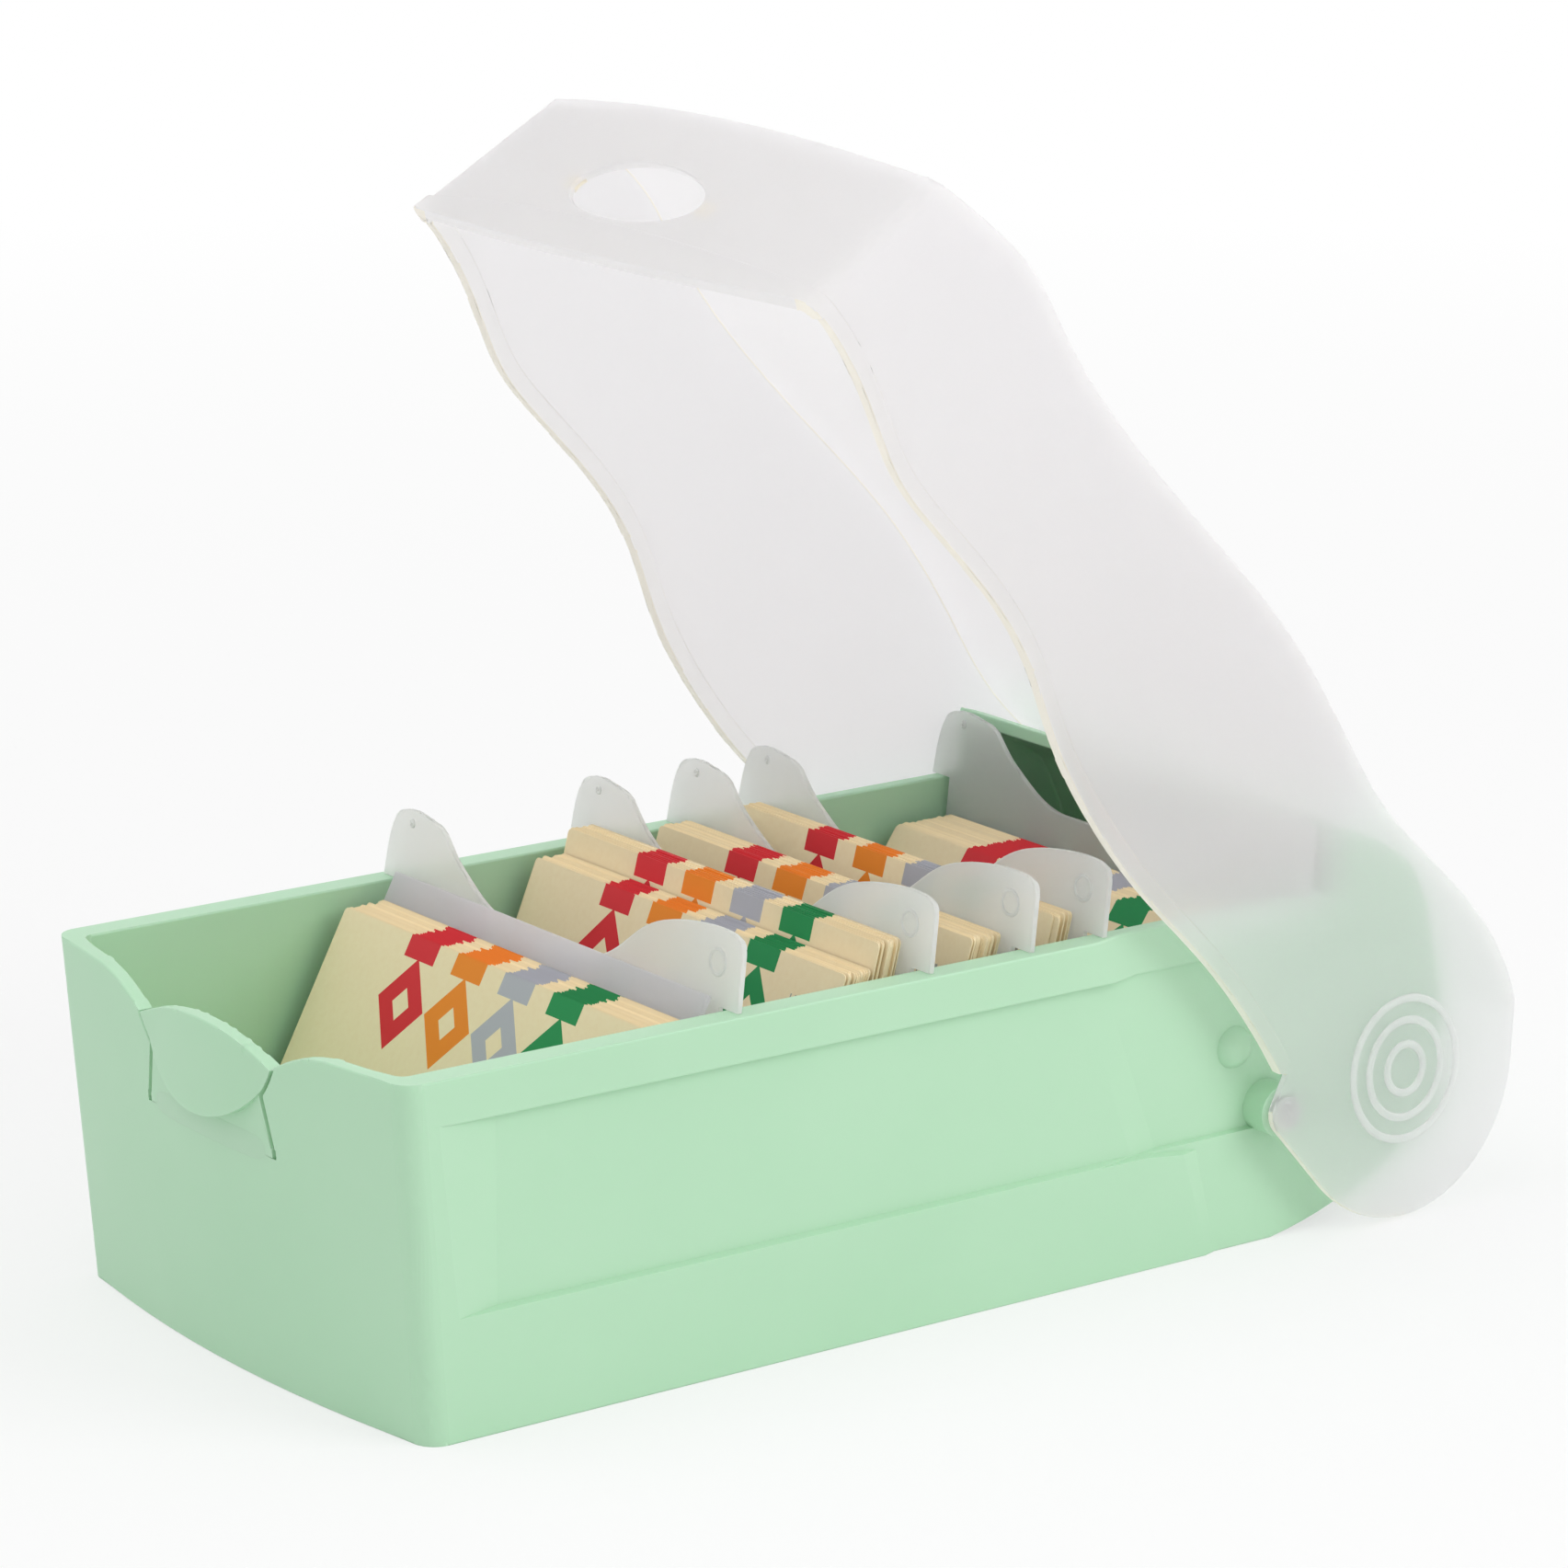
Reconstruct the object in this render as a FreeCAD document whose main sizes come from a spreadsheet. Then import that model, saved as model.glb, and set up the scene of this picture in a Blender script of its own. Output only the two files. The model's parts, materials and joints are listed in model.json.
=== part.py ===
import FreeCAD, Part

import math
import os

from FreeCAD import Matrix, Placement, Rotation, Vector

# A card box: an open tray, a lid hinged near the tray's rear end, loose dividers and packs of cards.
# Lengths are in millimetres. X runs across the tray, Y from its front to its rear and Z upwards.
# Pieces are drawn with y = 0 at the tray's front corners and placed by placed_at_base().

doc = FreeCAD.newDocument("card_box")

# Driving dimensions, each with what it measures
SIZES = [
    ("base_length", 144.4, "flat underside, front corners to the rear curve"),
    ("base_half_width", 43.3, "half width of the tray at the table"),
    ("rim_half_width", 44.2, "half width of the tray at its rim"),
    ("rim_height", 50.2, "height of the side walls"),
    ("front_lean", 3.96, "how far the front wall leans out at the rim"),
    ("front_bulge", 3.96, "how far the front wall's middle stands out in plan"),
    ("tray_corner_radius", 3.5, "outer corners of the front wall"),
    ("floor_thickness", 2.0, "tray floor"),
    ("tray_wall", 2.0, "front and rear walls of the tray"),
    ("cavity_half_width", 40.2, "half width inside the tray at the rim"),
    ("cavity_floor_half_width", 39.4, "half width inside the tray at the floor"),
    ("panel_half_width", 42.6, "side panel between the bands, front part"),
    ("rear_panel_half_width", 41.8, "side panel behind the crease"),
    ("rear_band_half_width", 42.6, "rim and foot bands behind the crease"),
    ("panel_front", 11.0, "front end of the side panel at its full depth"),
    ("panel_front_blend", 10.5, "length of the soft ramp from the rim down into the side panel"),
    ("panel_low", 17.5, "lower edge of the side panel"),
    ("panel_high", 43.7, "upper edge of the side panel, under the rim band"),
    ("ledge_drop", 1.4, "slope of the ledge on the foot band"),
    ("crease_rim_back", 115.2, "slanted crease where it meets the rim"),
    ("crease_band_back", 118.5, "slanted crease at the bottom of the rim band"),
    ("crease_high_back", 113.0, "slanted crease at the top of the panel"),
    ("crease_low_back", 123.0, "slanted crease at the bottom of the panel"),
    ("crease_ledge_back", 130.0, "slanted crease at the top of the foot band"),
    ("crease_foot_back", 134.0, "slanted crease where it meets the table"),
    ("crease_blend", 5.0, "length of the soft ramp from the front panel down into the rear panel"),
    ("band_blend", 5.0, "length of the soft ramp at the crease of the rim band"),
    ("relief_reach", 2.0, "how far the panels' cutting shapes run past the rim"),
    ("rear_reach", 31.3, "rear wall's foot behind the end of the flat base"),
    ("rear_foot_height", 13.8, "height of the rear wall's foot"),
    ("rear_curve_rise", 4.5, "height of the upswept base halfway along it"),
    ("rear_belly", 0.8, "how far the rear wall's middle stands behind its foot"),
    ("rear_belly_height", 30.0, "height of the rear wall's furthest point"),
    ("hood_reach", 9.2, "front edge of the hood behind the end of the flat base"),
    ("hood_back_reach", 24.5, "rear end of the hood's top behind the end of the flat base"),
    ("hinge_inset", 1.4, "hinge axis in front of the end of the flat base"),
    ("hinge_height", 20.2, "height of the hinge axis"),
    ("hinge_bore_radius", 2.5, "bore in each side wall for a hinge stud"),
    ("hinge_play", 0.05, "radial play between stud and bore"),
    ("stud_tip_inset", 0.2, "stud's end past the inner face of the tray wall"),
    ("hinge_boss_radius", 3.8, "round boss on each side wall that backs the bore"),
    ("hinge_boss_gap", 0.5, "gap between a hinge boss and the lid's cheek"),
    ("dome_ahead", 5.7, "detent dome in front of the hinge axis"),
    ("dome_height", 29.7, "height of the detent dome's centre"),
    ("dome_radius", 3.1, "detent dome at the wall"),
    ("dome_proud", 2.2, "how far the detent dome stands out"),
    ("dome_root", 0.5, "depth of the domes' and bosses' roots in the side wall"),
    ("leaf_half_width", 16.5, "half width of the latch leaf"),
    ("leaf_chord_height", 46.0, "height of the latch leaf's two ends"),
    ("leaf_top", 49.5, "top of the latch leaf"),
    ("leaf_bottom", 36.4, "lower lip of the latch leaf"),
    ("leaf_proud", 2.2, "how far the lip stands out of the front wall"),
    ("leaf_top_proud", 0.2, "how far the leaf's top stands out of the front wall"),
    ("leaf_gap", 0.5, "slit round the latch leaf"),
    ("scallop_start", 30.0, "half width where the front rim starts to dip"),
    ("slot_top_half", 12.9, "upper end of each latch slot from the middle"),
    ("slot_foot_half", 15.8, "lower end of each latch slot from the middle"),
    ("slot_width", 0.9, "width of each latch slot"),
    ("tongue_root_height", 34.2, "height of the line on which the latch tongue bends"),
    ("root_radius", 0.8, "round line at the tongue's root"),
    ("root_play", 0.05, "gap round the tongue's root"),
    ("tongue_foot_gap", 0.3, "gap under the tongue's panel, beside its root"),
    ("lid_wall", 1.2, "lid shell"),
    ("lid_top_height", 61.2, "closed lid's front top edge"),
    ("lid_wave_rise", 3.8, "rise of the lid's wavy top"),
    ("lid_edge_height", 35.3, "closed lid's lower front edge"),
    ("lid_edge_drop", 12.7, "drop of the lid's wavy lower edge"),
    ("lid_edge_sag", 4.0, "how far the middle of the front edge hangs below its corners"),
    ("lid_side_gap", 0.8, "how much wider than the tray's rim each side of the lid's top is"),
    ("lid_flare", 1.7, "how far each cheek flares out from the lid's top to its lower front edge"),
    ("lid_front_lean", 3.9, "how far the lid's front wall leans back at its top"),
    ("lid_corner_radius", 3.0, "outer corners of the lid's front wall"),
    ("lid_rear_reach", 21.5, "rear edge of the lid's top behind the end of the flat base"),
    ("lid_swing_gap", 0.25, "gap between the tray's front rim and the swinging lid"),
    ("lid_open_angle", 50.0, "degrees from closed to open"),
    ("lobe_radius", 22.0, "round lobe of each lid cheek"),
    ("lobe_behind_hinge", 12.9, "lobe's centre behind the hinge axis, lid closed"),
    ("lobe_above_hinge", 19.0, "lobe's centre above the hinge axis, lid closed"),
    ("ear_radius", 3.3, "ear of the cheek round the hinge stud"),
    ("window_half_width", 14.2, "half width of the oval window"),
    ("window_half_height", 5.8, "half height of the oval window"),
    ("window_above_edge", 9.3, "window's centre above the lid's lower edge"),
    ("strip_height", 2.5, "thick strip along the lid's lower edge"),
    ("strip_proud", 0.4, "how far the strip stands out of the shell, both sides"),
    ("hood_gap", 0.6, "gap between the hood and the swinging lid"),
    ("divider_thickness", 0.9, "divider plate"),
    ("divider_lean", 6.0, "degrees that the dividers lean back"),
    ("divider_side_gap", 1.2, "gap beside an ear, to the rim's outer edge"),
    ("divider_body_gap", 0.6, "gap beside a divider's body, to the cavity at the floor"),
    ("divider_foot_gap", 0.3, "gap under a divider"),
    ("divider_seat_gap", 0.1, "gap between a divider's ears and the rim"),
    ("divider_corner_radius", 3.0, "lower corners of a divider"),
    ("fin_head_gap", 0.5, "divider's fins below the lid's front top edge"),
    ("card_width", 74.0, "card across the tray"),
    ("card_height", 52.0, "card from bottom to top edge"),
    ("card_thickness", 0.22, "one card"),
    ("card_gap", 0.03, "air between two cards of a pack"),
    ("piece_gap", 0.3, "gap between loose pieces that lean on each other"),
    ("card_foot_gap", 0.15, "gap under the cards"),
    ("raised_by", 1.2, "how far the raised cards stand above the others"),
    ("support_width", 76.0, "support plate across the tray"),
    ("support_height", 56.0, "support plate from bottom to top edge"),
    ("support_thickness", 0.9, "support plate"),
    ("front_pack_lean", 28.0, "degrees that the front pack and its plate lean back"),
    ("low_pack_lean", 22.6, "degrees that the low pack leans back"),
    ("overrun", 20.0, "length by which cutting shapes run past a piece"),
]

# Outline of the lid's top, from its front edge to its rear edge: share of the length, share of the rise
LID_WAVE_SHARES = [
    (0.000, 0.00), (0.066, 0.71), (0.131, 1.00), (0.183, 0.62), (0.248, 0.30), (0.331, 0.35), (0.420, 0.66),
    (0.533, 1.00), (0.649, 0.58), (0.748, 0.05), (0.836, 0.42), (0.900, 0.68), (0.946, 0.55), (1.000, -0.20),
]

# Outline of the lid's lower edge, from its front to the hinge: share of the length, share of the drop
LID_EDGE_SHARES = [
    (0.000, 0.00), (0.055, 0.00), (0.117, 0.15), (0.187, 0.38), (0.252, 0.39), (0.375, 0.35), (0.434, 0.47),
    (0.500, 0.74), (0.556, 0.90), (0.622, 0.99), (0.694, 1.00), (0.809, 0.89), (0.888, 0.90), (0.960, 1.00),
]

# Outline of a divider's fins above the rim: share of its half width, share of the fins' height
LEFT_FIN_SHARES = [
    (-1.00, 0.00), (-0.98, 0.57), (-0.93, 0.93), (-0.87, 1.00), (-0.77, 0.97), (-0.68, 0.87), (-0.60, 0.60),
    (-0.52, 0.38), (-0.40, 0.12), (-0.24, 0.00),
]
RIGHT_FIN_SHARES = [
    (0.18, 0.00), (0.38, 0.36), (0.47, 0.63), (0.66, 0.91), (0.78, 0.98), (0.90, 1.00), (0.98, 0.92), (1.00, 0.70),
]

# Places of the five dividers at the rim, as shares of the flat base's length
DIVIDER_PLACE_SHARES = [0.341, 0.564, 0.685, 0.774, 1.030]

# Cards in each pack
FRONT_PACK_CARDS = 24
LOW_PACK_CARDS = 16
RAISED_PACK_CARDS = 16
THIRD_PACK_CARDS = 20
FOURTH_PACK_CARDS = 13
FIFTH_PACK_CARDS = 34

# Steps that settle a pack's lean in its bay
LEAN_STEPS = 60


def make_sheet():
    """Puts the driving dimensions in a spreadsheet, one row each."""
    cells = doc.addObject("Spreadsheet::Sheet", "sizes")
    for row, (name, number, note) in enumerate(SIZES, start=1):
        cells.set(f"A{row}", name)
        cells.set(f"B{row}", str(number))
        cells.set(f"C{row}", note)
        cells.setAlias(f"B{row}", name)
    doc.recompute()
    return cells


sheet = make_sheet()


class Size:
    """Reads a driving dimension from the sheet by its name."""

    def __getattr__(self, name):
        return float(sheet.get(name))


size = Size()


# Places that several pieces share
hinge_back = size.base_length - size.hinge_inset
hinge = Vector(0, hinge_back, size.hinge_height)
hood_radius = (
    size.lid_top_height + size.lid_wave_rise / 2 - size.lid_wall - size.hood_gap - size.hinge_height
)
lean = math.radians(size.divider_lean)
rim_swing = math.hypot(hinge_back + size.front_lean, size.rim_height - size.hinge_height) + size.lid_swing_gap
lid_front_inside = hinge_back - math.sqrt(rim_swing**2 - (size.lid_edge_height - size.hinge_height) ** 2)
lid_front = lid_front_inside - size.lid_wall
lid_top_half_width = size.rim_half_width + size.lid_side_gap
lid_edge_half_width = lid_top_half_width + size.lid_flare


def placed_at_base(feature, rotation=Rotation(), centre=Vector()):
    """Places a piece drawn from the front corners, so that the origin is the middle of the underside."""
    feature.Placement = Placement(Vector(0, -size.base_length / 2, 0), rotation, centre)


def add_feature(name, shape):
    """Adds a piece with a shape of its own."""
    feature = doc.addObject("Part::Feature", name)
    feature.Label = name
    feature.Shape = shape
    return feature


def between(low_height, low_value, high_height, high_value, height):
    """Value at a height on the straight line through two others."""
    return low_value + (high_value - low_value) * (height - low_height) / (high_height - low_height)


def plan_wire(half_width, front, bulge, rear, height):
    """Outline seen from above: a bowed front, straight sides and a straight rear."""
    left_front = Vector(-half_width, front, height)
    right_front = Vector(half_width, front, height)
    right_rear = Vector(half_width, rear, height)
    left_rear = Vector(-half_width, rear, height)
    nose = Vector(0, front - bulge, height)
    return Part.Wire([
        Part.Arc(left_front, nose, right_front).toShape(),
        Part.LineSegment(right_front, right_rear).toShape(),
        Part.LineSegment(right_rear, left_rear).toShape(),
        Part.LineSegment(left_rear, left_front).toShape(),
    ])


def round_front_corners(block, radius):
    """Rounds the two upright front edges of a block lofted between two plan outlines."""
    box = block.BoundBox
    corners = []
    for edge in block.Edges:
        ends = [vertex.Point for vertex in edge.Vertexes]
        upright = len(ends) == 2 and abs(ends[0].z - ends[1].z) > box.ZLength / 2
        if upright and max(end.y for end in ends) < box.YMin + box.YLength / 2:
            corners.append(edge)
    return block.makeFillet(radius, corners)


def profile_prism(wire, half_width):
    """Solid that a side outline sweeps across the whole width."""
    prism = Part.Face(wire).extrude(Vector(2 * half_width, 0, 0))
    prism.translate(Vector(-half_width, 0, 0))
    return prism


def side_polygon(points, sideways):
    """Closed straight-edged outline in a plane of constant x."""
    corners = [Vector(sideways, back, height) for back, height in points]
    return Part.makePolygon(corners + corners[:1])


def tray_block(inset, corner_radius):
    """The tray's leaning and bowed walls as one solid, moved inwards by the inset."""
    top = size.lid_top_height
    rear = size.base_length + size.rear_reach + size.overrun

    def outline(height):
        if inset > 0:
            half = between(
                0, size.cavity_floor_half_width, size.rim_height, size.cavity_half_width, height
            )
        else:
            half = between(0, size.base_half_width, size.rim_height, size.rim_half_width, height)
        front = -size.front_lean * height / size.rim_height + inset
        return plan_wire(half, front, size.front_bulge, rear, height)

    block = Part.makeLoft([outline(-size.floor_thickness), outline(top)], True, True)
    return round_front_corners(block, corner_radius)


def hood_height(back, radius):
    """Height of the hood's arc about the hinge, at a place along the tray."""
    return size.hinge_height + math.sqrt(radius**2 - (back - hinge_back) ** 2)


def tray_side_wire(inset):
    """The tray from the side: flat base, upswept rear, rear wall and hood, moved inwards by the inset."""
    ahead = -size.overrun
    base_end = size.base_length
    foot = base_end + size.rear_reach - inset
    foot_height = size.rear_foot_height + inset / 2
    belly = base_end + size.rear_reach + size.rear_belly - inset
    radius = hood_radius - inset
    hood_end = base_end + size.hood_back_reach - inset / 2
    hood_front = base_end + size.hood_reach
    top = size.rim_height
    if inset > 0:
        top = size.lid_top_height + size.overrun
    middle = base_end + size.rear_reach / 2 - inset / 2
    crown = (hood_end + hood_front) / 2

    def point(back, height):
        return Vector(0, back, height)

    start = point(ahead, inset)
    flat_end = point(base_end, inset)
    foot_point = point(foot, foot_height)
    hood_rear = point(hood_end, hood_height(hood_end, radius))
    hood_edge = point(hood_front, hood_height(hood_front, radius))
    return Part.Wire([
        Part.LineSegment(start, flat_end).toShape(),
        Part.Arc(flat_end, point(middle, size.rear_curve_rise + inset), foot_point).toShape(),
        Part.Arc(foot_point, point(belly, size.rear_belly_height), hood_rear).toShape(),
        Part.Arc(hood_rear, point(crown, hood_height(crown, radius)), hood_edge).toShape(),
        Part.LineSegment(hood_edge, point(hood_front, top)).toShape(),
        Part.LineSegment(point(hood_front, top), point(ahead, top)).toShape(),
        Part.LineSegment(point(ahead, top), start).toShape(),
    ])


def side_cutter(inner_points, outer_points, inner_half):
    """Cutting solid beside the tray: its outline grows from the panel's plane outwards, as a soft ramp."""
    outer_half = size.rim_half_width + size.relief_reach
    return Part.makeLoft(
        [side_polygon(inner_points, inner_half), side_polygon(outer_points, outer_half)], True, True
    )


def ramp_run(length, shallow_half, deep_half):
    """How far a cutting shape runs ahead at its outer end, for a ramp of a length between two depths."""
    return length * (size.rim_half_width + size.relief_reach - deep_half) / (shallow_half - deep_half)


def side_relief():
    """What is cut from one side of the tray: the front panel, the rear panel and the rear bands."""
    ramp = ramp_run(size.crease_blend, size.panel_half_width, size.rear_panel_half_width)
    band_ramp = ramp_run(size.band_blend, size.rim_half_width, size.rear_band_half_width)
    far = size.base_length + size.rear_reach + size.overrun
    above = size.lid_top_height + size.overrun
    panel_start = size.panel_front
    panel_soft_start = panel_start - ramp_run(
        size.panel_front_blend, size.rim_half_width, size.panel_half_width
    )
    low = size.panel_low
    soft_low = size.panel_low - size.ledge_drop
    high = size.panel_high
    front_panel = side_cutter(
        [(panel_start, low), (size.crease_low_back, low), (size.crease_high_back, high), (panel_start, high)],
        [(panel_soft_start, soft_low), (size.crease_low_back, soft_low), (size.crease_high_back, high),
         (panel_soft_start, high)],
        size.panel_half_width,
    )
    rear_panel = side_cutter(
        [(size.crease_low_back, low), (far, low), (far, high), (size.crease_high_back, high)],
        [(size.crease_low_back - ramp, soft_low), (far, soft_low), (far, high),
         (size.crease_high_back - ramp, high)],
        size.rear_panel_half_width,
    )
    bands = [
        (size.crease_rim_back, above), (size.crease_rim_back, size.rim_height),
        (size.crease_band_back, high), (size.crease_band_back, low), (size.crease_ledge_back, soft_low),
        (size.crease_foot_back, 0), (size.crease_foot_back, -size.floor_thickness),
        (far, -size.floor_thickness), (far, above),
    ]
    soft_bands = [(back - band_ramp if back < far else back, height) for back, height in bands]
    rear_bands = side_cutter(bands, soft_bands, size.rear_band_half_width)
    return front_panel.fuse([rear_panel, rear_bands])


def lens_wire(grow, back):
    """Outline of the latch leaf seen from the front: two arcs that meet in a point at each side."""
    left = Vector(-size.leaf_half_width - grow, back, size.leaf_chord_height)
    right = Vector(size.leaf_half_width + grow, back, size.leaf_chord_height)
    top = Vector(0, back, size.leaf_top + grow)
    bottom = Vector(0, back, size.leaf_bottom - grow)
    return Part.Wire([Part.Arc(left, top, right).toShape(), Part.Arc(right, bottom, left).toShape()])


def front_prism(wire, length):
    """Solid that an outline in a plane of constant y sweeps backwards."""
    return Part.Face(wire).extrude(Vector(0, length, 0))


def scallop_wire(back):
    """What the front rim's dip removes above the latch leaf, between two round shoulders."""
    start = size.scallop_start
    half = size.leaf_half_width
    dip = size.rim_height - size.leaf_chord_height
    radius = ((start - half) ** 2 + dip**2) / (2 * dip)
    centre_height = size.rim_height - radius
    middle = (start + half) / 2
    middle_height = centre_height + math.sqrt(radius**2 - (start - middle) ** 2)
    above = size.rim_height + size.overrun
    rim = size.rim_height
    chord = size.leaf_chord_height

    def point(across, height):
        return Vector(across, back, height)

    return Part.Wire([
        Part.Arc(point(-start, rim), point(-middle, middle_height), point(-half, chord)).toShape(),
        Part.LineSegment(point(-half, chord), point(half, chord)).toShape(),
        Part.Arc(point(half, chord), point(middle, middle_height), point(start, rim)).toShape(),
        Part.LineSegment(point(start, rim), point(start, above)).toShape(),
        Part.LineSegment(point(start, above), point(-start, above)).toShape(),
        Part.LineSegment(point(-start, above), point(-start, rim)).toShape(),
    ])


def tongue_panel(grow, foot, back, length):
    """Solid from near the tongue's root up to its leaf, between the two slots, grown by half a gap."""
    root = size.tongue_root_height
    top = size.leaf_chord_height
    foot_half = between(root, size.slot_foot_half, top, size.slot_top_half, foot) + grow
    top_half = size.slot_top_half + grow
    corners = [
        Vector(-foot_half, back, foot), Vector(foot_half, back, foot),
        Vector(top_half, back, top), Vector(-top_half, back, top),
    ]
    return front_prism(Part.makePolygon(corners + corners[:1]), length)


def root_roll(radius, half_length):
    """Round line at the foot of the tongue, on which it bends."""
    root = size.tongue_root_height
    face = -size.front_lean * root / size.rim_height - size.front_bulge
    centre = Vector(-half_length, face + size.tray_wall / 2, root)
    return Part.makeCylinder(radius, 2 * half_length, centre, Vector(1, 0, 0))


def make_tray():
    """The moulded tray with its hood, bands, hinge bores, detent domes and latch slots."""
    reach = size.rim_half_width + size.overrun
    outside = tray_block(0, size.tray_corner_radius).common(profile_prism(tray_side_wire(0), reach))
    cavity = tray_block(size.tray_wall, size.tray_corner_radius / 2).common(
        profile_prism(tray_side_wire(size.floor_thickness), reach)
    )
    body = outside.cut(cavity)
    relief = side_relief()
    body = body.cut([relief, relief.mirror(Vector(), Vector(1, 0, 0))])

    sphere_radius = (size.dome_radius**2 + size.dome_proud**2) / (2 * size.dome_proud)
    dome_side = size.rear_panel_half_width + size.dome_proud - sphere_radius
    dome_back = hinge_back - size.dome_ahead
    skin = size.rear_panel_half_width - size.dome_root
    keep = Part.makeBox(
        size.overrun, size.overrun, size.overrun,
        Vector(skin, dome_back - size.overrun / 2, size.dome_height - size.overrun / 2),
    )
    dome = Part.makeSphere(sphere_radius, Vector(dome_side, dome_back, size.dome_height)).common(keep)
    boss = Part.makeCylinder(
        size.hinge_boss_radius, cheek_inside(hinge.z) - size.hinge_boss_gap - skin,
        Vector(skin, hinge.y, hinge.z), Vector(1, 0, 0),
    )
    dome_and_boss = dome.fuse(boss)
    body = body.fuse([dome_and_boss, dome_and_boss.mirror(Vector(), Vector(1, 0, 0))])

    bore = Part.makeCylinder(
        size.hinge_bore_radius, 2 * reach, Vector(-reach, hinge.y, hinge.z), Vector(1, 0, 0)
    )
    ahead = -size.overrun
    depth = size.overrun
    leaf_hole = front_prism(lens_wire(size.leaf_gap, ahead), depth + size.tray_wall)
    scallop = front_prism(scallop_wire(ahead), depth + size.tray_wall)
    foot = size.tongue_root_height - size.root_radius / 2
    slots = tongue_panel(size.slot_width / 2, foot, ahead, depth + size.tray_wall)
    seat = root_roll(size.root_radius + size.root_play, size.slot_foot_half + size.slot_width / 2)
    return body.cut([bore, leaf_hole, scallop, slots, seat]).removeSplitter()


def make_tongue():
    """The springy latch: a panel of the front wall that carries a proud leaf."""
    ahead = -size.overrun
    depth = size.overrun + size.tray_wall
    outside = tray_block(0, size.tray_corner_radius)
    inside = tray_block(size.tray_wall, size.tray_corner_radius / 2)
    wall = outside.cut(inside)
    foot = size.tongue_root_height - size.root_radius / 2 + size.tongue_foot_gap
    panel = tongue_panel(-size.slot_width / 2, foot, ahead, depth)
    leaf = front_prism(lens_wire(0, ahead), depth)
    roll = root_roll(size.root_radius, size.slot_foot_half - size.slot_width / 2)
    flat = wall.common(panel.fuse([leaf, roll]))

    lip = size.leaf_bottom
    lip_face = -size.front_lean * lip / size.rim_height - size.front_bulge - size.leaf_proud
    crown = size.leaf_top
    crown_face = -size.front_lean * crown / size.rim_height - size.front_bulge - size.leaf_top_proud
    half = size.leaf_half_width
    bow = size.leaf_proud

    def face_wire(front, height):
        return plan_wire(half, front + bow, bow, size.tray_wall, height)

    low_front = between(lip, lip_face, crown, crown_face, lip - size.tray_wall)
    high_front = between(lip, lip_face, crown, crown_face, crown + size.tray_wall)
    pillow = Part.makeLoft(
        [face_wire(low_front, lip - size.tray_wall), face_wire(high_front, crown + size.tray_wall)], True, True
    )
    proud = pillow.common(leaf).cut(inside)
    return flat.fuse(proud).removeSplitter()


def lid_half_width(height):
    """Half width of the closed lid's shell at a height."""
    return between(
        size.lid_edge_height, lid_edge_half_width, size.lid_top_height, lid_top_half_width, height
    )


def cheek_inside(height):
    """Half width inside the closed lid at a height."""
    return lid_half_width(height) - size.lid_wall


def lid_block(inset, corner_radius):
    """The lid's flared cheeks and bowed front wall as one solid, moved inwards by the inset."""
    low = hinge.z - size.overrun
    high = size.lid_top_height + size.overrun
    rear = size.base_length + size.rear_reach + 2 * size.overrun

    def outline(height):
        front = between(
            size.lid_edge_height, lid_front, size.lid_top_height, lid_front + size.lid_front_lean, height
        )
        return plan_wire(
            lid_half_width(height) - inset, front + inset, size.front_bulge, rear, height
        )

    block = Part.makeLoft([outline(low), outline(high)], True, True)
    return round_front_corners(block, corner_radius)


def lid_wave_points(drop):
    """Points of the closed lid's wavy top, lowered by the drop."""
    start = lid_front + size.lid_front_lean
    length = size.base_length + size.lid_rear_reach - start
    return [
        Vector(0, start + along * length, size.lid_top_height + rise * size.lid_wave_rise - drop)
        for along, rise in LID_WAVE_SHARES
    ]


def lid_edge_points(lift):
    """Points of the closed lid's wavy lower edge, raised by the lift."""
    length = hinge_back - lid_front
    return [
        Vector(0, lid_front + along * length, size.lid_edge_height - fall * size.lid_edge_drop + lift)
        for along, fall in LID_EDGE_SHARES
    ]


def spline(points):
    """Smooth edge through points."""
    curve = Part.BSplineCurve()
    curve.interpolate(points)
    return curve.toShape()


def chain(points):
    """Straight edges through points."""
    return [Part.LineSegment(start, end).toShape() for start, end in zip(points[:-1], points[1:])]


def lid_side_prism():
    """The closed lid from the side: wavy top, wavy lower edge, round lobe and hinge ear."""
    reach = lid_edge_half_width + size.overrun
    wave = lid_wave_points(0)
    edge = lid_edge_points(0)
    lobe = Vector(0, hinge.y + size.lobe_behind_hinge, hinge.z + size.lobe_above_hinge)
    ahead = Vector(0, -size.overrun, 0)
    main = Part.Wire(
        [spline(edge)]
        + chain([edge[-1], lobe, wave[-1]])
        + [spline(wave)]
        + chain([wave[0], wave[0] + ahead, edge[0] + ahead, edge[0]])
    )

    to_lobe = lobe - hinge
    angle = math.atan2(to_lobe.z, to_lobe.y)
    spread = math.acos((size.ear_radius - size.lobe_radius) / to_lobe.Length)
    web = []
    for side in (1, -1):
        way = Vector(0, math.cos(angle + side * spread), math.sin(angle + side * spread))
        web += [hinge + way * size.ear_radius, lobe + way * size.lobe_radius][::side]
    web_wire = Part.makePolygon(web + web[:1])
    shoulder = lobe + Vector(0, 1, 1) * (size.lobe_radius / math.sqrt(2))
    crown = Part.makePolygon([wave[-1], shoulder, lobe, wave[-1]])

    def disc(centre, radius):
        return Part.makeCylinder(radius, 2 * reach, Vector(-reach, centre.y, centre.z), Vector(1, 0, 0))

    return profile_prism(main, reach).fuse([
        disc(lobe, size.lobe_radius), disc(hinge, size.ear_radius), profile_prism(web_wire, reach),
        profile_prism(crown, reach),
    ])


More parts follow.
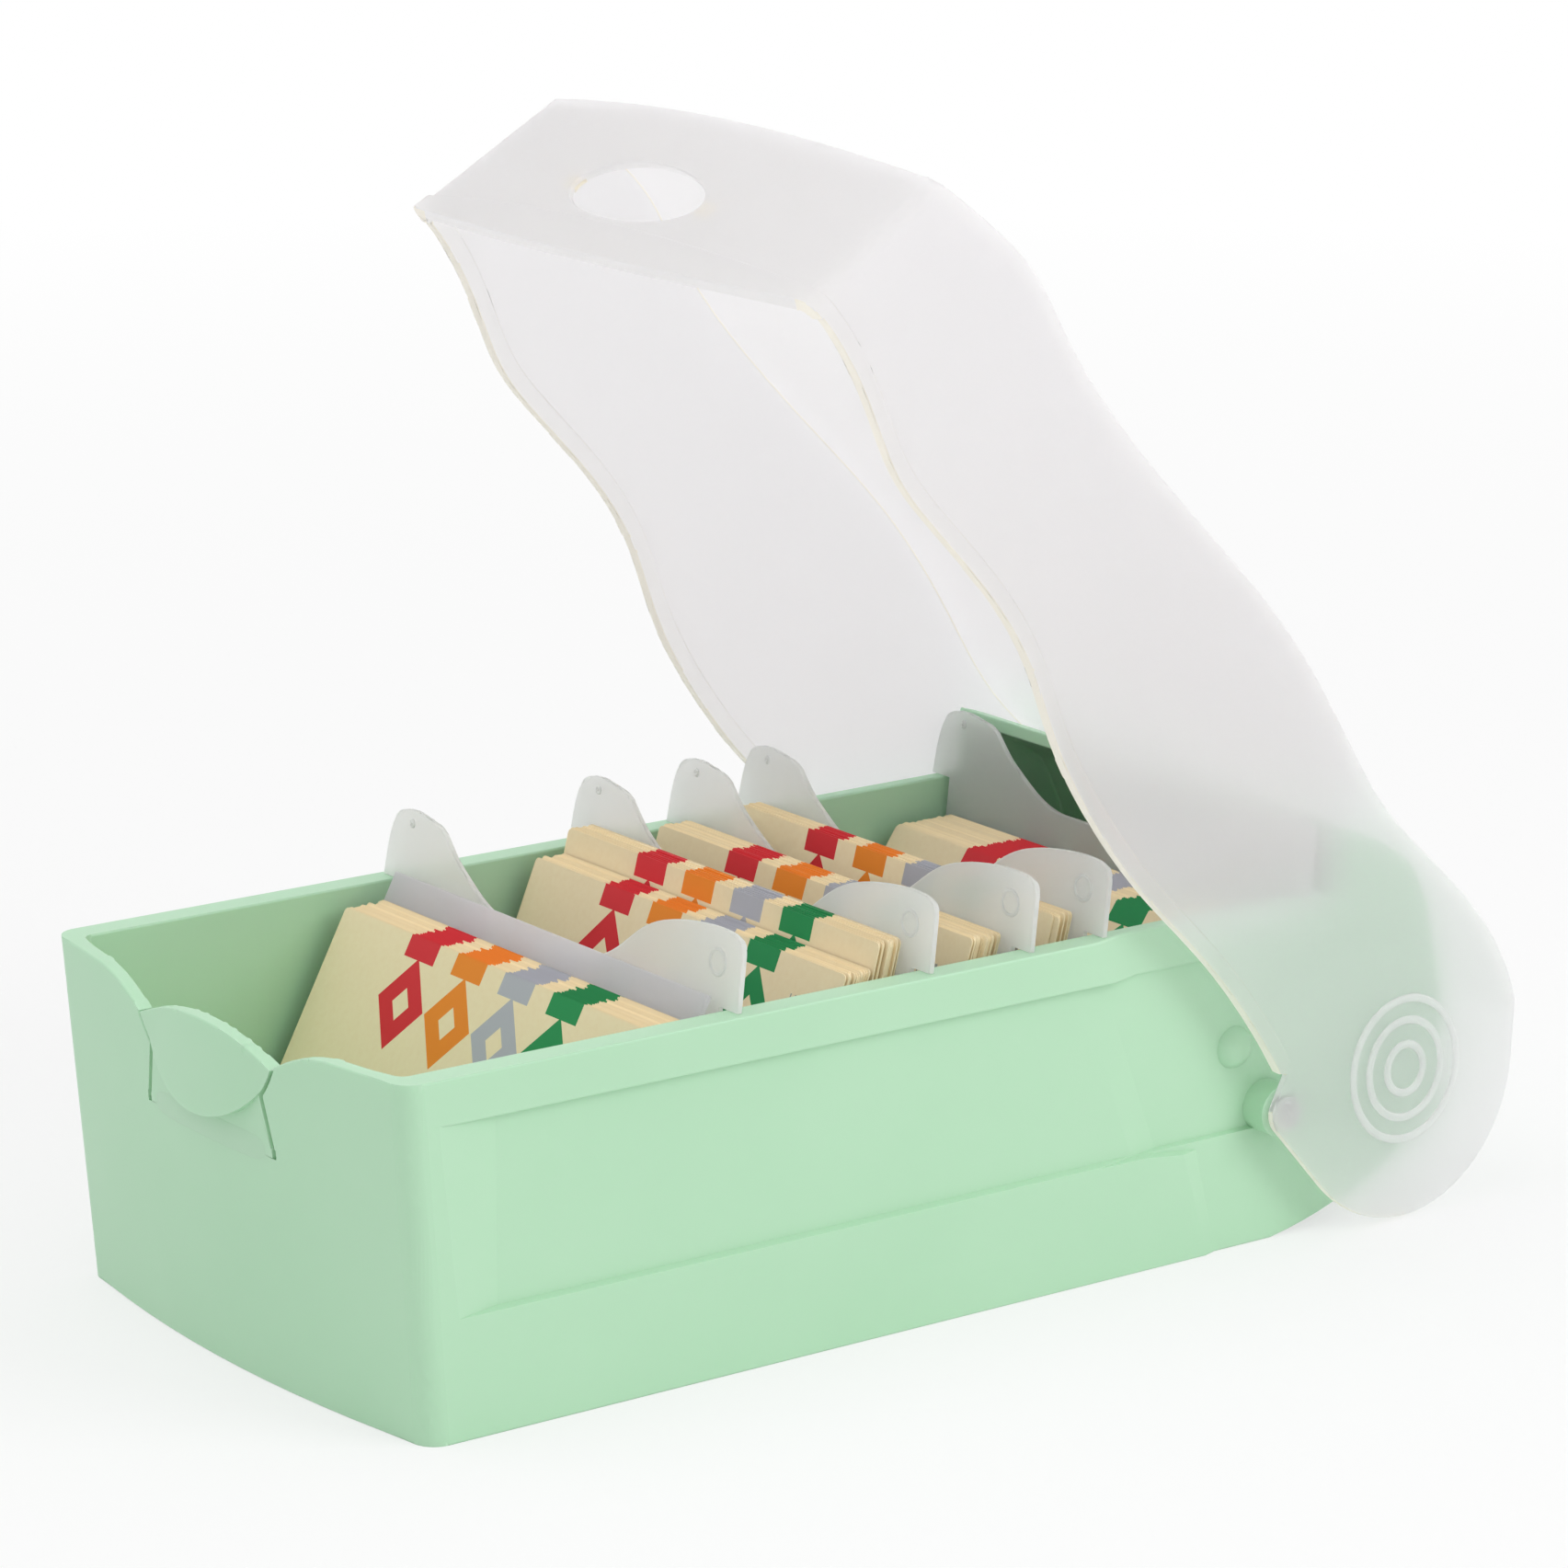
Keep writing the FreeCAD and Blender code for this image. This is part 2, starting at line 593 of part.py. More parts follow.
def lid_hollow_prism():
    """Everything under the lid's top wall."""
    reach = lid_edge_half_width + size.overrun
    wave = lid_wave_points(size.lid_wall)
    below = hinge.z - 2 * size.overrun
    far = size.base_length + size.rear_reach + 3 * size.overrun
    front = wave[0] + Vector(0, -size.overrun, 0)
    rear = Vector(0, far, wave[-1].z)
    wire = Part.Wire(
        [spline(wave)]
        + chain([wave[-1], rear, Vector(0, far, below), Vector(0, front.y, below), front, wave[0]])
    )
    return profile_prism(wire, reach)


def lid_strip_prism():
    """Band along the lid's lower edge, up to the hinge."""
    reach = lid_edge_half_width + size.overrun
    low = lid_edge_points(0)
    high = lid_edge_points(size.strip_height)
    ahead = Vector(0, -size.overrun, 0)
    wire = Part.Wire(
        [spline(low)]
        + chain([low[-1], high[-1]])
        + [spline(high)]
        + chain([high[0], high[0] + ahead, low[0] + ahead, low[0]])
    )
    return profile_prism(wire, reach)


def lid_apron_prism():
    """What the front edge's curve adds below its two corners."""
    half = lid_edge_half_width + size.strip_proud
    front = lid_front - size.overrun
    seam = size.lid_edge_height + size.strip_height / 2
    corner = size.lid_edge_height

    def point(across, height):
        return Vector(across, front, height)

    wire = Part.Wire([
        Part.Arc(point(-half, corner), point(0, corner - size.lid_edge_sag), point(half, corner)).toShape(),
        Part.LineSegment(point(half, corner), point(half, seam)).toShape(),
        Part.LineSegment(point(half, seam), point(-half, seam)).toShape(),
        Part.LineSegment(point(-half, seam), point(-half, corner)).toShape(),
    ])
    return front_prism(wire, size.overrun + size.lid_corner_radius)


def make_lid():
    """The closed lid: a thin shell with a wavy top, a thick lower edge, a window and two studs."""
    inner_radius = size.lid_corner_radius - size.lid_wall
    inside = lid_block(size.lid_wall, inner_radius)
    shell = lid_block(0, size.lid_corner_radius).common(lid_side_prism())
    shell = shell.cut(inside.common(lid_hollow_prism()))
    band = lid_block(-size.strip_proud, size.lid_corner_radius).cut(
        lid_block(size.lid_wall + size.strip_proud, inner_radius)
    )
    strip = band.common(lid_strip_prism().fuse(lid_apron_prism()))

    stud_root = lid_half_width(hinge.z) - size.lid_wall / 2
    wall_inside = between(
        0, size.cavity_floor_half_width, size.rim_height, size.cavity_half_width, hinge.z
    )
    stud_tip = wall_inside + size.stud_tip_inset
    stud = Part.makeCylinder(
        size.hinge_bore_radius - size.hinge_play, stud_root - stud_tip,
        Vector(stud_tip, hinge.y, hinge.z), Vector(1, 0, 0),
    )

    stretch = Matrix()
    stretch.scale(Vector(size.window_half_width, 1, size.window_half_height))
    hole = Part.makeCylinder(1, 2 * size.overrun, Vector(), Vector(0, 1, 0)).transformGeometry(stretch)
    hole.translate(Vector(0, lid_front - size.overrun, size.lid_edge_height + size.window_above_edge))
    shell = shell.fuse([strip, stud, stud.mirror(Vector(), Vector(1, 0, 0))])
    return shell.cut(hole).removeSplitter()


def divider_outline():
    """Upright outline of a divider, with its origin where its ears rest on the rim."""
    half = size.rim_half_width - size.divider_side_gap
    body_half = size.cavity_floor_half_width - size.divider_body_gap
    fin = (size.lid_top_height - size.rim_height - size.fin_head_gap) / math.cos(lean)
    depth = (size.rim_height - size.floor_thickness - size.divider_foot_gap) / math.cos(lean)
    radius = size.divider_corner_radius
    kink = radius * (1 - math.sqrt(2) / 2)
    left = [Vector(x * half, 0, rise * fin) for x, rise in LEFT_FIN_SHARES]
    right = [Vector(x * half, 0, rise * fin) for x, rise in RIGHT_FIN_SHARES]

    def point(across, height):
        return Vector(across, 0, height)

    def corner(side):
        ends = [
            point(side * body_half, radius - depth), point(side * (body_half - kink), kink - depth),
            point(side * (body_half - radius), -depth),
        ]
        return ends[::side]

    right_corner = corner(1)
    left_corner = corner(-1)
    return Part.Wire(
        [spline(left)]
        + chain([left[-1], right[0]])
        + [spline(right)]
        + chain([right[-1], point(half, 0), point(body_half, 0), right_corner[0]])
        + [Part.Arc(*right_corner).toShape()]
        + chain([right_corner[-1], left_corner[0]])
        + [Part.Arc(*left_corner).toShape()]
        + chain([left_corner[-1], point(-body_half, 0), left[0]])
    )


def make_divider(name, share):
    """One divider: its outline extruded by its thickness, leaning back on the rim."""
    outline = add_feature(name + "_outline", divider_outline())
    plate = doc.addObject("Part::Extrusion", name)
    plate.Label = name
    plate.Base = outline
    plate.DirMode = "Custom"
    plate.Solid = True
    plate.setExpression("LengthFwd", "sizes.divider_thickness")
    place = Vector(0, (share - 1 / 2) * size.base_length, size.rim_height + size.divider_seat_gap)
    turn = Rotation(Vector(-1, 0, 0), size.divider_lean)
    outline.Placement = Placement(place, turn)
    plate.Dir = turn.multVec(Vector(0, 1, 0))
    return plate


def divider_front(index, height):
    """Front face of a divider at a height, measured from the tray's front corners."""
    rim = DIVIDER_PLACE_SHARES[index] * size.base_length
    return rim + (height - size.rim_height - size.divider_seat_gap) * math.tan(lean)


def divider_rear(index, height):
    """Rear face of a divider at a height."""
    return divider_front(index, height) + size.divider_thickness / math.cos(lean)


def add_plate(name, width, height, thickness, back, foot, lean_angle):
    """A flat plate that leans back, given by its lower front edge."""
    plate = doc.addObject("Part::Box", name)
    plate.Label = name
    plate.setExpression("Length", "sizes." + width)
    plate.setExpression("Width", "sizes." + thickness)
    plate.setExpression("Height", "sizes." + height)
    lift = getattr(size, thickness) * math.sin(lean_angle)
    corner = Vector(-getattr(size, width) / 2, back - size.base_length / 2, foot + lift)
    plate.Placement = Placement(corner, Rotation(Vector(-1, 0, 0), math.degrees(lean_angle)))
    return plate


def add_pack(name, count, back, foot, lean_angle):
    """A pack of loose cards that stand on their lower edges and lean back."""
    pitch = (size.card_thickness + size.card_gap) / math.cos(lean_angle)
    cards = [
        add_plate(
            f"{name}_card_{number + 1}", "card_width", "card_height", "card_thickness",
            back + number * pitch, foot, lean_angle,
        )
        for number in range(count)
    ]
    pack = doc.addObject("Part::Compound", name)
    pack.Label = name
    pack.Links = cards
    return pack


def pack_depth(count, lean_angle):
    """Distance from a pack's first to its last face, along the tray."""
    return count * (size.card_thickness + size.card_gap) / math.cos(lean_angle)


def lean_in_bay(count, start, foot, index):
    """Lean at which a pack that stands at the start of its bay rests on the divider behind it."""
    low = 0.0
    high = math.pi / 3
    for _ in range(LEAN_STEPS):
        middle = (low + high) / 2
        top = foot + size.card_height * math.cos(middle)
        reach = start + size.card_height * math.sin(middle) + pack_depth(count, middle)
        if reach > divider_front(index, top) - size.piece_gap:
            high = middle
        else:
            low = middle
    return low


def pack_behind(name, count, front_index, rear_index):
    """A pack that stands right behind one divider and leans on the next."""
    foot = size.floor_thickness + size.card_foot_gap
    start = divider_rear(front_index, foot) + size.piece_gap
    lean_angle = lean_in_bay(count, start, foot, rear_index)
    return add_pack(name, count, start, foot, lean_angle)


def make_front_pack():
    """The front cards and the plate behind them, which leans on the first divider."""
    angle = math.radians(size.front_pack_lean)
    foot = size.floor_thickness + size.card_foot_gap
    top = foot + size.support_height * math.cos(angle)
    rear_top = divider_front(0, top) - size.piece_gap
    plate_back = rear_top - size.support_height * math.sin(angle) - size.support_thickness / math.cos(angle)
    plate = add_plate(
        "support_plate", "support_width", "support_height", "support_thickness", plate_back, foot, angle
    )
    cards_back = plate_back - size.piece_gap / math.cos(angle) - pack_depth(FRONT_PACK_CARDS, angle)
    cards = add_pack("cards_1", FRONT_PACK_CARDS, cards_back, foot, angle)
    return [plate, cards]


def make_second_packs():
    """Two packs before the second divider: raised cards on a packing, and lower cards in front."""
    foot = size.floor_thickness + size.card_foot_gap
    raised_foot = foot + size.raised_by
    low_angle = math.radians(size.low_pack_lean)
    low_top = foot + size.card_height * math.cos(low_angle)
    raised_angle = (lean + low_angle) / 2
    raised_top = raised_foot + size.card_height * math.cos(raised_angle)
    raised_back = (
        divider_front(1, raised_top) - size.piece_gap
        - size.card_height * math.sin(raised_angle) - pack_depth(RAISED_PACK_CARDS, raised_angle)
    )
    raised_face = raised_back + (low_top - raised_foot) * math.tan(raised_angle)
    low_back = (
        raised_face - size.piece_gap / math.cos(low_angle)
        - size.card_height * math.sin(low_angle) - pack_depth(LOW_PACK_CARDS, low_angle)
    )
    low = add_pack("cards_2_low", LOW_PACK_CARDS, low_back, foot, low_angle)
    raised = add_pack("cards_2_raised", RAISED_PACK_CARDS, raised_back, raised_foot, raised_angle)
    return [low, raised]


def make_pieces():
    """Every piece of the box, in its place with the lid open."""
    tray = add_feature("tray", make_tray())
    placed_at_base(tray)
    tongue = add_feature("latch_tongue", make_tongue())
    placed_at_base(tongue)
    lid = add_feature("lid", make_lid())
    placed_at_base(lid, Rotation(Vector(-1, 0, 0), size.lid_open_angle), hinge)
    dividers = [
        make_divider(f"divider_{number}", share)
        for number, share in enumerate(DIVIDER_PLACE_SHARES, start=1)
    ]
    packs = make_front_pack() + make_second_packs() + [
        pack_behind("cards_3", THIRD_PACK_CARDS, 1, 2),
        pack_behind("cards_4", FOURTH_PACK_CARDS, 2, 3),
        pack_behind("cards_5", FIFTH_PACK_CARDS, 3, 4),
    ]
    return [tray, tongue, lid] + dividers + packs


def check_document():
    """Stops if any object of the document failed to build."""
    for item in doc.Objects:
        if "Invalid" in item.State or "Error" in item.State:
            raise RuntimeError(f"{item.Label} failed: {item.State}")


def check_piece(piece):
    """Stops if a piece has no sound shape."""
    shape = piece.Shape
    if shape.isNull() or not shape.isValid() or not shape.Solids:
        raise RuntimeError(f"{piece.Label} has no valid solid")


pieces = make_pieces()
doc.recompute()
check_document()
for piece in pieces:
    check_piece(piece)
os.makedirs("parts", exist_ok=True)
for piece in pieces:
    piece.Shape.exportStep(f"parts/{piece.Label}.step")
    box = piece.Shape.BoundBox
    print(
        f"{piece.Label}: {len(piece.Shape.Solids)} solids, {piece.Shape.Volume:.0f} mm3, "
        f"y {box.YMin:.1f} to {box.YMax:.1f}, z {box.ZMin:.1f} to {box.ZMax:.1f}"
    )
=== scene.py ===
"""Looks of a card box: a moulded tray, a frosted lid on two studs, loose dividers and packs of cards.

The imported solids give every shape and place. The classes below round their edges, add the small moulded
marks, lay the cards out one by one and give each piece its finish. Sizes are written in millimetres.
"""

from __future__ import annotations

import json
import logging
import math
import random
from dataclasses import dataclass
from enum import Enum
from typing import Any

import bmesh
import bpy
from mathutils import Matrix, Vector
from mathutils.bvhtree import BVHTree


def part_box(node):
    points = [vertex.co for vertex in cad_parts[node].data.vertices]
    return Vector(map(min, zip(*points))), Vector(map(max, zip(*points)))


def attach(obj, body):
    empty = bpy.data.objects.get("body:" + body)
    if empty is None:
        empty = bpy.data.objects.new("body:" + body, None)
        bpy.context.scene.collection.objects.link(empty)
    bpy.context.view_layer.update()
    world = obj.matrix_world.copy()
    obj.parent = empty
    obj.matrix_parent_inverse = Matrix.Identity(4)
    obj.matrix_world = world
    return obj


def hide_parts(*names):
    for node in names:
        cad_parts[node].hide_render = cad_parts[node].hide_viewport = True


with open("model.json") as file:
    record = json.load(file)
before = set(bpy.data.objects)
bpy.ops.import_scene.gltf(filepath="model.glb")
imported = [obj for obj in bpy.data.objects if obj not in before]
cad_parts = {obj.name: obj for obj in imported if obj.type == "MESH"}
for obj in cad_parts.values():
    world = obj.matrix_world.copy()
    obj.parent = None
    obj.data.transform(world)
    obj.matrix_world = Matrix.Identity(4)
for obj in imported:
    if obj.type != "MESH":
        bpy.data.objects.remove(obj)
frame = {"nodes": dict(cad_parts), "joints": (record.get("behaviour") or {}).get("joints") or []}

LOG = logging.getLogger("card_box")
MM = 0.001
WHITE = "#FFFFFF"
WELD = MM / 200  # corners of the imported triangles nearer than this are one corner
SLIVER = 0.1 * MM  # a face narrower than this can't carry a rounding
FLAT_TURN = 0.05  # degrees between two triangles of one flat face, at most
NARROW_SHARE = 3.2  # a merged face narrower than this many roundings keeps its edges sharp
STRAY_SHARE = 0.6  # a corner further off the solid than this share of the rounding has strayed
ROUNDING_STEPS = 3
RING_STEPS = 48
RING_PROFILE_STEPS = 6


def srgb(code: str) -> tuple[float, float, float, float]:
    """Turns an sRGB hex colour into a linear one.

    Args:
        code: the colour, such as "#B3DDB9".

    Returns:
        Red, green, blue and an alpha of 1, all linear.
    """
    parts = [int(code[start:start + 2], 16) / 255 for start in (1, 3, 5)]
    linear = [part / 12.92 if part <= 0.04045 else ((part + 0.055) / 1.055) ** 2.4 for part in parts]
    return linear[0], linear[1], linear[2], 1.0


def per_mm(length: float) -> float:
    """Noise scale whose features are a given length across, in millimetres."""
    return 1 / (length * MM)


def add_node(
    tree: bpy.types.NodeTree,
    kind: str,
    settings: dict[str, Any] | None = None,
    values: dict[Any, Any] | None = None,
    links: dict[Any, bpy.types.NodeSocket] | None = None,
) -> bpy.types.Node:
    """Adds a node with its settings, input values and incoming links.

    Args:
        tree: the node tree that takes the node.
        kind: the node's type name.
        settings: properties of the node itself.
        values: input socket, by name or number, to its value.
        links: input socket, by name or number, to the socket that feeds it.

    Returns:
        The new node.
    """
    node = tree.nodes.new(kind)
    for name, setting in (settings or {}).items():
        setattr(node, name, setting)
    for name, value in (values or {}).items():
        node.inputs[name].default_value = value
    for name, socket in (links or {}).items():
        tree.links.new(socket, node.inputs[name])
    return node


def empty_material(name: str) -> bpy.types.Material:
    """Makes a material with no nodes in its tree."""
    material = bpy.data.materials.new(name)
    material.use_nodes = True
    material.node_tree.nodes.clear()
    return material


def connect_surface(tree: bpy.types.NodeTree, shader: bpy.types.NodeSocket) -> None:
    """Feeds a shader to the material's output."""
    add_node(tree, "ShaderNodeOutputMaterial", links={"Surface": shader})


@dataclass(frozen=True)
class MouldedPolypropylene:
    """Injection-moulded polypropylene, coloured through, from a finely eroded steel mould.

    The mould leaves a very fine grain, so highlights are soft and wide. Flow marks shift the tint a
    little, and some light goes into the walls and comes out green beside where it went in.
    """

    name: str = "moulded_polypropylene"
    colour: str = "#B9DFBF"
    flow_colour: str = "#B1DAB8"
    ior: float = 1.49
    roughness: float = 0.42
    rough_spread: float = 0.06
    grain: float = 0.35
    grain_strength: float = 0.35
    depth: float = 0.012
    flow: float = 26.0
    glow: float = 0.12
    glow_reach: float = 2.5
    glow_tint: tuple[float, float, float] = (0.6, 1.0, 0.7)

    def build(self) -> bpy.types.Material:
        """Builds the material.

        Returns:
            The tray's plastic.
        """
        material = empty_material(self.name)
        tree = material.node_tree
        place = add_node(tree, "ShaderNodeTexCoord").outputs["Object"]
        flow = add_node(
            tree, "ShaderNodeTexNoise",
            values={"Scale": per_mm(self.flow), "Detail": 3.0}, links={"Vector": place},
        )
        tint = add_node(
            tree, "ShaderNodeMix", {"data_type": "RGBA"},
            {"A": srgb(self.colour), "B": srgb(self.flow_colour)}, {"Factor": flow.outputs["Fac"]},
        )
        # A grain of a third of a millimetre is coarser than the mould's own, so that it still shows
        grain = add_node(
            tree, "ShaderNodeTexNoise",
            values={"Scale": per_mm(self.grain), "Detail": 2.0}, links={"Vector": place},
        )
        bump = add_node(
            tree, "ShaderNodeBump",
            values={"Strength": self.grain_strength, "Distance": self.depth * MM},
            links={"Height": grain.outputs["Fac"]},
        )
        rough = add_node(
            tree, "ShaderNodeMapRange",
            values={
                "To Min": self.roughness - self.rough_spread,
                "To Max": self.roughness + self.rough_spread,
            },
            links={"Value": flow.outputs["Fac"]},
        )
        surface = add_node(
            tree, "ShaderNodeBsdfPrincipled",
            values={
                "IOR": self.ior, "Subsurface Weight": self.glow, "Subsurface Radius": self.glow_tint,
                "Subsurface Scale": self.glow_reach * MM,
            },
            links={
                "Base Color": tint.outputs["Result"], "Roughness": rough.outputs["Result"],
                "Normal": bump.outputs["Normal"],
            },
        )
        connect_surface(tree, surface.outputs["BSDF"])
        return material


@dataclass(frozen=True)
class FrostedPolypropylene:
    """Unfilled polypropylene sheet or shell, left its natural milky white and frosted on both faces.

    Light comes through it, but what lies behind blurs with its distance from the wall. The index is
    lower than the plastic's 1.49, because a thin frosted wall hardly bends what shows through it.
    """

    name: str
    colour: str
    clear: float
    roughness: float
    milk: float
    ior: float = 1.2
    rough_spread: float = 0.05
    grain: float = 0.5
    grain_strength: float = 0.3
    depth: float = 0.01
    cloud: float = 40.0

    def build(self) -> bpy.types.Material:
        """Builds the material.

        Returns:
            A frosted plastic that lets light through.
        """
        material = empty_material(self.name)
        tree = material.node_tree
        place = add_node(tree, "ShaderNodeTexCoord").outputs["Object"]
        grain = add_node(
            tree, "ShaderNodeTexNoise",
            values={"Scale": per_mm(self.grain), "Detail": 2.0}, links={"Vector": place},
        )
        bump = add_node(
            tree, "ShaderNodeBump",
            values={"Strength": self.grain_strength, "Distance": self.depth * MM},
            links={"Height": grain.outputs["Fac"]},
        )
        cloud = add_node(
            tree, "ShaderNodeTexNoise",
            values={"Scale": per_mm(self.cloud), "Detail": 2.0}, links={"Vector": place},
        )
        rough = add_node(
            tree, "ShaderNodeMapRange",
            values={
                "To Min": self.roughness - self.rough_spread,
                "To Max": self.roughness + self.rough_spread,
            },
            links={"Value": cloud.outputs["Fac"]},
        )
        surface = add_node(
            tree, "ShaderNodeBsdfPrincipled",
            values={
                "Base Color": srgb(self.colour), "IOR": self.ior, "Transmission Weight": self.clear,
            },
            links={"Roughness": rough.outputs["Result"], "Normal": bump.outputs["Normal"]},
        )
        milk = add_node(
            tree, "ShaderNodeBsdfTranslucent", values={"Color": srgb(self.colour)},
            links={"Normal": bump.outputs["Normal"]},
        )
        blend = add_node(
            tree, "ShaderNodeMixShader", values={"Fac": self.milk},
            links={1: surface.outputs["BSDF"], 2: milk.outputs["BSDF"]},
        )
        connect_surface(tree, blend.outputs["Shader"])
        return material


@dataclass(frozen=True)
class PrintedCard:
    """Uncoated index card of cream board, offset printed with four plain marks and a writing line.

    The ink reaches the card's upper edge, so a pack shows four coloured streaks from above.
    """

    name: str = "printed_index_card"
    colour: str = "#FBEBC6"
    fibre_colour: str = "#F5E1B8"
    inks: tuple[str, ...] = ("#D8232F", "#F08A1D", "#B4B5BD", "#078B4A")
    rule_ink: str = "#A9A79E"
    card_width: float = 74.0
    card_height: float = 52.0
    row_start: float = 15.0
    pitch: float = 11.6
    mark_height: float = 42.3
    half_width: float = 5.6
    half_height: float = 6.8
    hole_share: float = 0.36
    tab_half: float = 3.6
    tab_drop: float = 3.2
    rule_height: float = 29.5
    rule_half: float = 0.22
    rule_inset: float = 6.0
    tick_start: float = 64.0
    tick_end: float = 70.5
    tick_low: float = 38.0
    tick_high: float = 47.0
    tick_pitch: float = 1.3
    tick_share: float = 0.45
    ior: float = 1.45
    bare_roughness: float = 0.82
    ink_gloss: float = 0.22
    fibre: float = 0.9
    fibre_strength: float = 0.25
    fibre_depth: float = 0.02

    def build(self) -> bpy.types.Material:
        """Builds the material, which reads the card's own UV map as shares of its width and height.

        Returns:
            The printed card.
        """
        material = empty_material(self.name)
        tree = material.node_tree

        def calc(operation: str, first: Any, second: Any = 0.0) -> bpy.types.NodeSocket:
            """Works out one sum of sockets or numbers."""
            values, links = {}, {}
            for number, item in enumerate((first, second)):
                if isinstance(item, bpy.types.NodeSocket):
                    links[number] = item
                else:
                    values[number] = item
            sum_node = add_node(tree, "ShaderNodeMath", {"operation": operation}, values, links)
            return sum_node.outputs["Value"]

        def within(item: bpy.types.NodeSocket, low: float, high: float) -> bpy.types.NodeSocket:
            """Gives 1 where a length lies between two others."""
            return calc("MULTIPLY", calc("GREATER_THAN", item, low), calc("LESS_THAN", item, high))

        spot = add_node(tree, "ShaderNodeUVMap", {"uv_map": "card"}).outputs["UV"]
        split = add_node(tree, "ShaderNodeSeparateXYZ", links={"Vector": spot})
        across = calc("MULTIPLY", split.outputs["X"], self.card_width)
        height = calc("MULTIPLY", split.outputs["Y"], self.card_height)

        kinds = len(self.inks)
        step = calc("DIVIDE", calc("SUBTRACT", across, self.row_start), self.pitch)
        from_middle = calc("SUBTRACT", calc("FRACT", step), 0.5)
        offset = calc("ABSOLUTE", calc("MULTIPLY", from_middle, self.pitch))
        in_row = within(step, 0.0, float(kinds))
        rise = calc("ABSOLUTE", calc("SUBTRACT", height, self.mark_height))
        reach = calc(
            "ADD", calc("DIVIDE", offset, self.half_width), calc("DIVIDE", rise, self.half_height)
        )
        diamond = within(reach, self.hole_share, 1.0)
        tab = calc(
            "MULTIPLY", calc("LESS_THAN", offset, self.tab_half),
            calc("GREATER_THAN", height, self.card_height - self.tab_drop),
        )
        printed = calc("MULTIPLY", calc("MAXIMUM", diamond, tab), in_row)

        ramp = add_node(tree, "ShaderNodeValToRGB", links={"Fac": calc("DIVIDE", step, float(kinds))})
        ramp.color_ramp.interpolation = "CONSTANT"
        for number, ink in enumerate(self.inks):
            stops = ramp.color_ramp.elements
            stop = stops[number] if number < 2 else stops.new(number / kinds)
            stop.position = number / kinds
            stop.color = srgb(ink)

        from_rule = calc("ABSOLUTE", calc("SUBTRACT", height, self.rule_height))
        rule = calc(
            "MULTIPLY", calc("LESS_THAN", from_rule, self.rule_half),
            within(across, self.rule_inset, self.card_width - self.rule_inset),
        )
        tick_step = calc("FRACT", calc("DIVIDE", across, self.tick_pitch))
        ticks = calc(
            "MULTIPLY", within(across, self.tick_start, self.tick_end),
            calc(
                "MULTIPLY", within(height, self.tick_low, self.tick_high),
                calc("LESS_THAN", tick_step, self.tick_share),
            ),
        )

        place = add_node(tree, "ShaderNodeTexCoord").outputs["Object"]
        # Fibres of nearly a millimetre are coarser than the board's own, so that they still show
        fibre = add_node(
            tree, "ShaderNodeTexNoise",
            values={"Scale": per_mm(self.fibre), "Detail": 4.0}, links={"Vector": place},
        )
        board = add_node(
            tree, "ShaderNodeMix", {"data_type": "RGBA"},
            {"A": srgb(self.colour), "B": srgb(self.fibre_colour)}, {"Factor": fibre.outputs["Fac"]},
        )
        tone = add_node(tree, "ShaderNodeAttribute", {"attribute_name": "card_tone"}).outputs["Fac"]
        toned = add_node(
            tree, "ShaderNodeHueSaturation", links={"Color": board.outputs["Result"], "Value": tone}
        )
        ruled = add_node(
            tree, "ShaderNodeMix", {"data_type": "RGBA"}, {"B": srgb(self.rule_ink)},
            {"A": toned.outputs["Color"], "Factor": calc("MAXIMUM", rule, ticks)},
        )
        inked = add_node(
            tree, "ShaderNodeMix", {"data_type": "RGBA"},
            links={"A": ruled.outputs["Result"], "B": ramp.outputs["Color"], "Factor": printed},
        )
        bump = add_node(
            tree, "ShaderNodeBump",
            values={"Strength": self.fibre_strength, "Distance": self.fibre_depth * MM},
            links={"Height": fibre.outputs["Fac"]},
        )
        rough = calc("SUBTRACT", self.bare_roughness, calc("MULTIPLY", printed, self.ink_gloss))
        surface = add_node(
            tree, "ShaderNodeBsdfPrincipled", values={"IOR": self.ior},
            links={
                "Base Color": inked.outputs["Result"], "Roughness": rough,
                "Normal": bump.outputs["Normal"],
            },
        )
        connect_surface(tree, surface.outputs["BSDF"])
        return material


class Piece(Enum):
    """Which moulded finish a piece or a part of it has."""

    TRAY = "tray"
    LID = "lid"
    DIVIDER = "divider"
    PLATE = "plate"
    # Painted glow: the lid's free edge in a brighter, opaque finish
    PAINTED_EDGE_GLOW = "free_edge"
    RAISED_MARK = "raised_mark"


FINISHES: dict[Piece, MouldedPolypropylene | FrostedPolypropylene] = {
    Piece.TRAY: MouldedPolypropylene(),
    Piece.LID: FrostedPolypropylene(
        "frosted_lid_polypropylene", "#FBFAFB", clear=0.7, roughness=0.4, milk=0.36
    ),
    Piece.DIVIDER: FrostedPolypropylene(
        "frosted_divider_polypropylene", "#F8F9F8", clear=0.62, roughness=0.35, milk=0.3
    ),
    Piece.PLATE: FrostedPolypropylene(
        "frosted_plate_polypropylene", "#F1F0F3", clear=0.5, roughness=0.4, milk=0.5
    ),
    # Painted glow: an opaque cream finish that stands in for light coming out through the lid's edge;
    # also laid on the top-edge tubes as painted highlight lines
    Piece.PAINTED_EDGE_GLOW: FrostedPolypropylene(
        "painted_free_edge_glow", "#FFFBF1", clear=0.0, roughness=0.5, milk=0.6
    ),
    # On the medallion rings this whiter, less clear finish paints the highlights of the raised lines
    Piece.RAISED_MARK: FrostedPolypropylene(
        "frosted_raised_marks", WHITE, clear=0.6, roughness=0.45, milk=0.4
    ),
}


